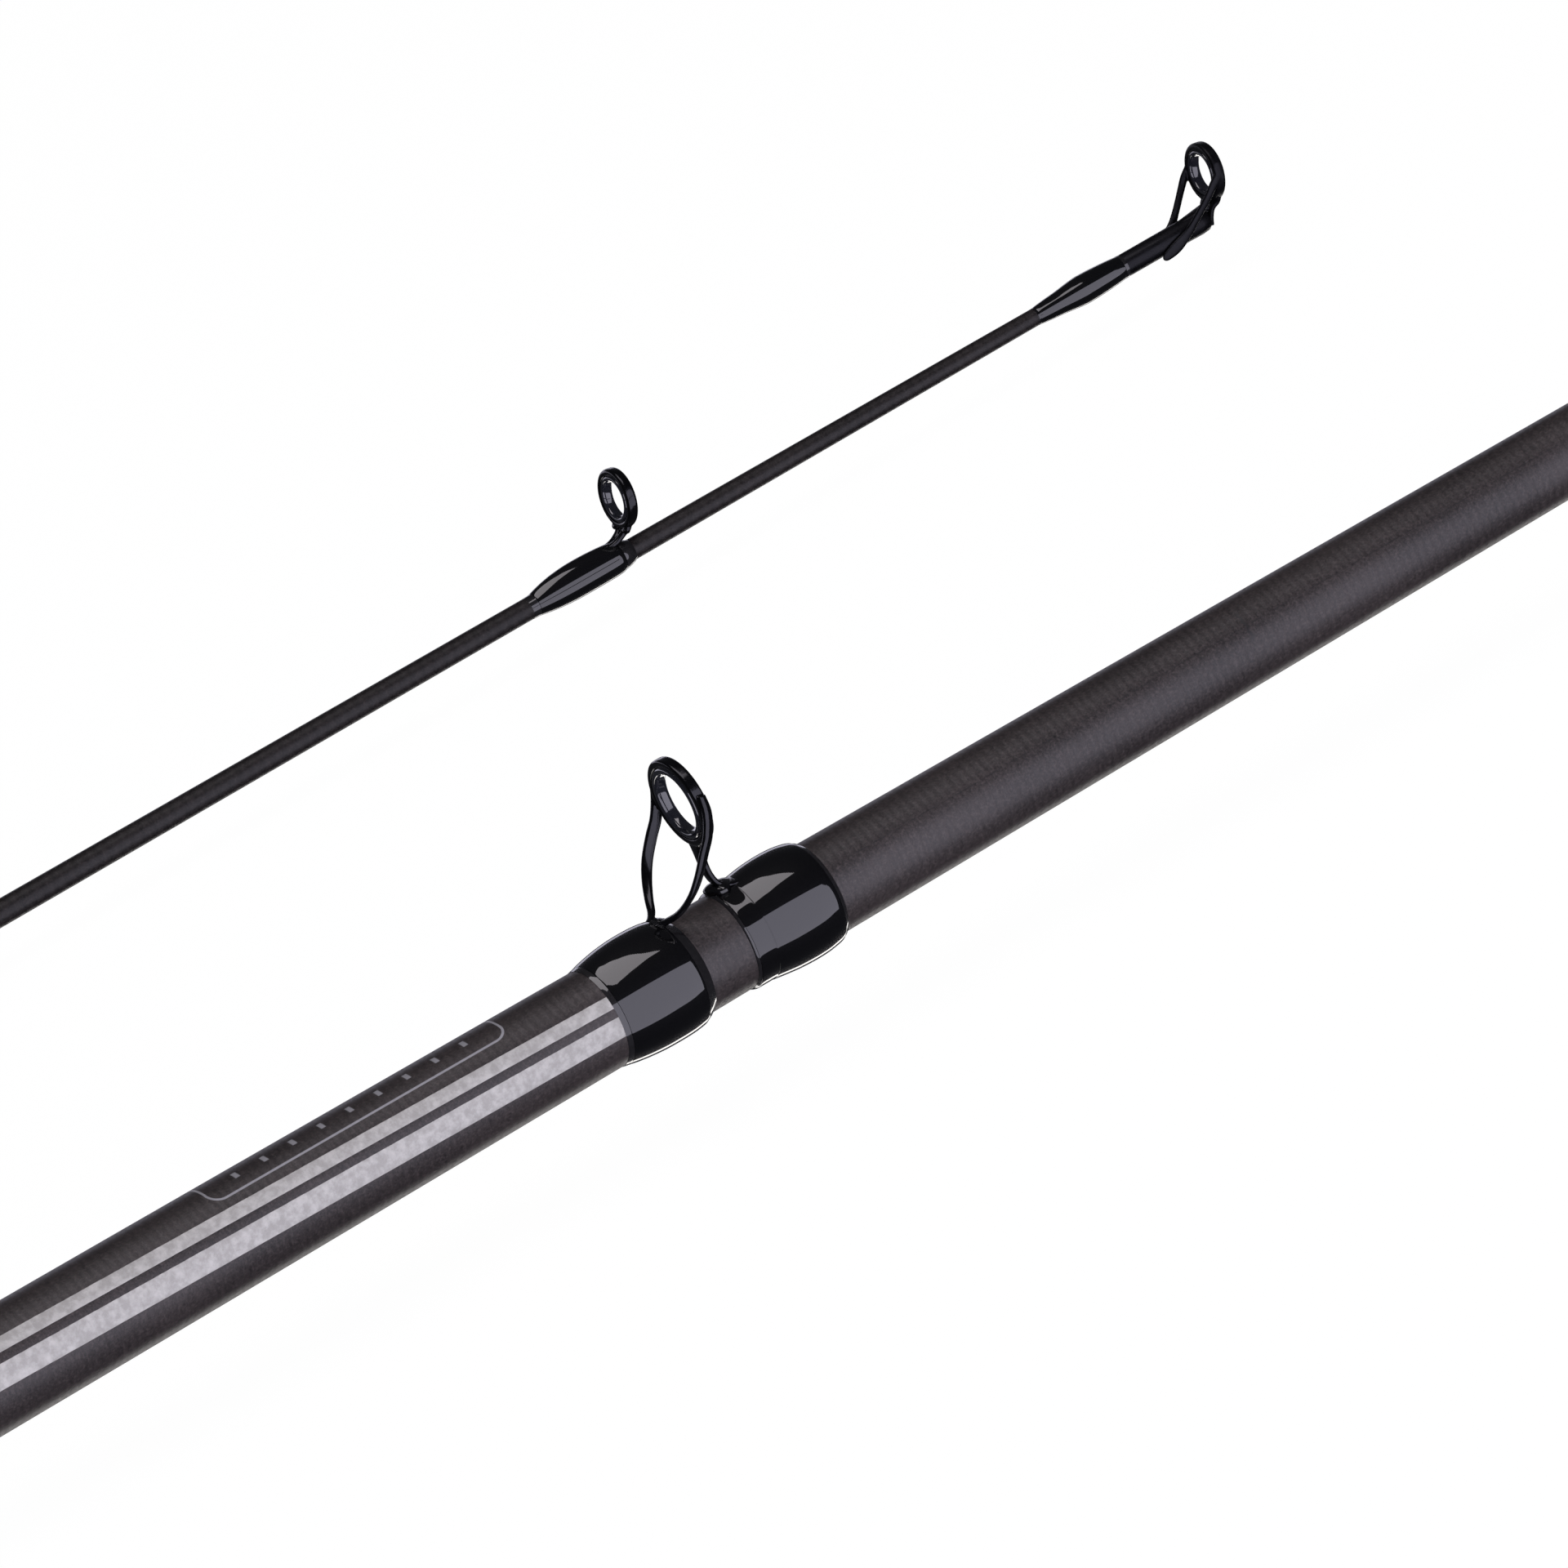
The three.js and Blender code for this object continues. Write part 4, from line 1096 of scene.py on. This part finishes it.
def lock_nut():
    """The lock nut: a plain collar, then flutes for the fingers."""
    flutes = 24
    fluted0, fluted1 = 366.8, 376.6

    def shape(x, r, a):
        if r < 11 or x < fluted0:
            return r
        flute = (math.cos(a * flutes) * 0.5 + 0.5) ** 1.5
        fade = min(1.0, (x - fluted0) / 0.8, (fluted1 - x) / 0.8)
        return r - 0.75 * max(0.0, fade) * (1 - flute)

    outer = [
        (364.2, 11.8), (364.3, 12.15), (364.6, 12.4), (365.0, 12.5), (366.0, 12.5), (366.3, 12.35),
        (366.5, 12.0), (366.7, 12.0), (366.9, 12.3), (367.2, 12.55),
    ]
    outer += [(367.6 + i * 0.6, 12.58) for i in range(14)]
    outer += [(376.2, 12.5), (376.6, 12.3), (376.9, 11.9), (377.0, 11.5)]
    inner = [(377.0, 10.5), (376.6, 10.08), (364.7, 10.08), (364.2, 10.5)]
    nut = turned(outer + inner, 192, shape=shape)
    piece("lock_nut_knurled", nut, "seat", "nut", ["lock_nut"])


lock_nut()
# the packing inside the seat keeps its CAD shape, and takes a material
for node in ("rear_arbor", "front_arbor"):
    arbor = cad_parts[node]
    arbor.data.materials.clear()
    arbor.data.materials.append(MATERIALS["arbor"])

# ---------------------------------------- hook keeper

keeper_base = butt_r(492) + 0.72
# (x, height over the foot)
keeper_loop = [
    (479.2, 0), (482, 0), (485.6, 0), (487.2, 0.5), (488.6, 2.2), (490.2, 3.7), (492, 4.15),
    (493.8, 3.7), (495.4, 2.2), (496.8, 0.5), (498.4, 0), (502, 0), (504.8, 0),
]
keeper_path = [(x, 0, keeper_base + height) for x, height in keeper_loop]
wire = swept(keeper_path, 1.06, 1.06, 90, 20, power=2.0)
piece("hook_keeper_wire", wire, "guide", BUTT, ["hook_keeper"])
for name, x0, x1 in (("keeper_rear", 476.5, 485.8), ("keeper_front", 498.2, 507.5)):
    swell = [
        (x0, 0.1), (x0 + 0.6, 0.35), (x0 + 2.0, 0.7), ((x0 + x1) / 2, 0.85),
        (x1 - 2.0, 0.7), (x1 - 0.6, 0.35), (x1, 0.1),
    ]
    wrap(name + "_thread", BUTT_SIDE, 0, swell, [name + "_wrap"], 0.8)

# ---------------------------------------- stage, light and camera


def stage_material(name, glow):
    """An even pale ground with a glow of its own."""
    s = Shader(name)
    wobble = s.noise(s.place, 3.0, 2.0)
    s.colour(s.mix(wobble, (0.02, 0.02, 0.02), (0.03, 0.03, 0.03)))
    s.set("Roughness", 0.9)
    s.set("Specular IOR Level", 0.0)
    s.set("Emission Color", (1.0, 1.0, 1.0, 1.0))
    s.set("Emission Strength", glow)
    return s.material


def stage_object(name, verts, faces, material):
    """A piece of the stage, in metres. The camera sees it, and the rod doesn't mirror it."""
    mesh = bpy.data.meshes.new(name)
    mesh.from_pydata(verts, [], faces)
    mesh.materials.append(material)
    obj = linked(name, mesh)
    for flag in ("visible_diffuse", "visible_glossy", "visible_shadow"):
        setattr(obj, flag, False)
    return obj


def dome(centre, reach, low, high):
    """A round wall and roof, so that a low view also ends on a pale ground."""
    sides, rows = 64, 16
    verts = []
    for i in range(rows):
        climb = math.pi / 2 * i / rows
        flat = reach * math.cos(climb)
        for j in range(sides):
            a = 2 * math.pi * j / sides
            x, y = centre[0] + flat * math.cos(a), centre[1] + flat * math.sin(a)
            verts.append((x, y, low + high * math.sin(climb)))
    faces = [face[::-1] for face in bands(rows, sides)]
    top, last = len(verts), (rows - 1) * sides
    verts.append((centre[0], centre[1], low + high))
    faces += [(last + (j + 1) % sides, last + j, top) for j in range(sides)]
    return verts, faces


pale = stage_material("pale_floor", 0.985)
STAGE_CENTRE = (0.5, 0.05)
FLOOR_Z = cad_box[0].z - 0.0002
half = 130.0
corners = [(-half, -half, 0), (half, -half, 0), (half, half, 0), (-half, half, 0)]
floor = stage_object("floor", corners, [(0, 1, 2, 3)], pale)
floor.location = (*STAGE_CENTRE, FLOOR_Z)
surround = stage_object("surround", *dome(STAGE_CENTRE, 125.0, FLOOR_Z, 120.0), pale)

world = bpy.data.worlds.new("studio")
bpy.context.scene.world = world
world.use_nodes = True
sky = world.node_tree.nodes["Background"]
sky.inputs["Color"].default_value = (0.85, 0.86, 1.0, 1.0)
sky.inputs["Strength"].default_value = 0.055

# the middle of the length that the camera sees
MIDDLE = Vector((0.97, 0.03, 0.0))


def softbox(name, angle, distance, x, width, height, power, colour):
    """A panel light round the rod, at an angle from straight up towards -Y, facing MIDDLE."""
    data = bpy.data.lights.new(name, "AREA")
    data.shape = "RECTANGLE"
    data.size = width
    data.size_y = height
    data.energy = power
    data.color = colour
    obj = linked(name, data)
    a = math.radians(angle)
    obj.location = MIDDLE + Vector((x, -math.sin(a) * distance, math.cos(a) * distance))
    obj.rotation_euler = (MIDDLE - obj.location).to_track_quat("-Z", "Y").to_euler()
    obj.visible_camera = False


softbox("key", 94, 1.2, -0.1, 2.6, 1.7, 38.0, (0.86, 0.84, 1.0))
softbox("top", 4, 1.3, 0.05, 0.62, 1.1, 7.8, (1.0, 0.95, 1.0))
softbox("rim", -86, 1.6, 0.0, 3.0, 0.42, 5.0, (0.86, 0.84, 1.0))
softbox("low", -145.5, 1.6, 0.0, 3.0, 0.26, 9.5, (1.0, 0.97, 0.94))

# the camera looks along look, turned by roll about it
look = Vector((0.3902, 0.8474, -0.3602)).normalized()
flat_right = Vector((0.908, -0.418, 0.0)).normalized()
flat_up = flat_right.cross(look)
roll = math.radians(20.8)
right = flat_right * math.cos(roll) - flat_up * math.sin(roll)
up = flat_right * math.sin(roll) + flat_up * math.cos(roll)
# in the picture the rod climbs at tilt, and the aim is measured along it and across it
tilt = math.radians(30.25)
ALONG, ACROSS = 12.7, 10.8
DISTANCE = 2.5
VIEW_WIDTH = 0.1561
SENSOR = 36.0
along_rod = right * math.cos(tilt) + up * math.sin(tilt)
across_rod = up * math.cos(tilt) - right * math.sin(tilt)
aim = Vector((RING_X, 0, 0)) + along_rod * ALONG + across_rod * ACROSS
camera_data = bpy.data.cameras.new("camera")
camera_data.sensor_width = SENSOR
camera_data.lens = SENSOR * DISTANCE / VIEW_WIDTH
camera_data.clip_start = 0.05
camera_data.clip_end = 400.0
camera = linked("camera", camera_data)
camera.location = aim * MM - look * DISTANCE
camera.rotation_euler = Matrix((right, up, -look)).transposed().to_euler()
scene = bpy.context.scene
scene.camera = camera
scene.view_settings.view_transform = "Standard"
scene.view_settings.look = "None"
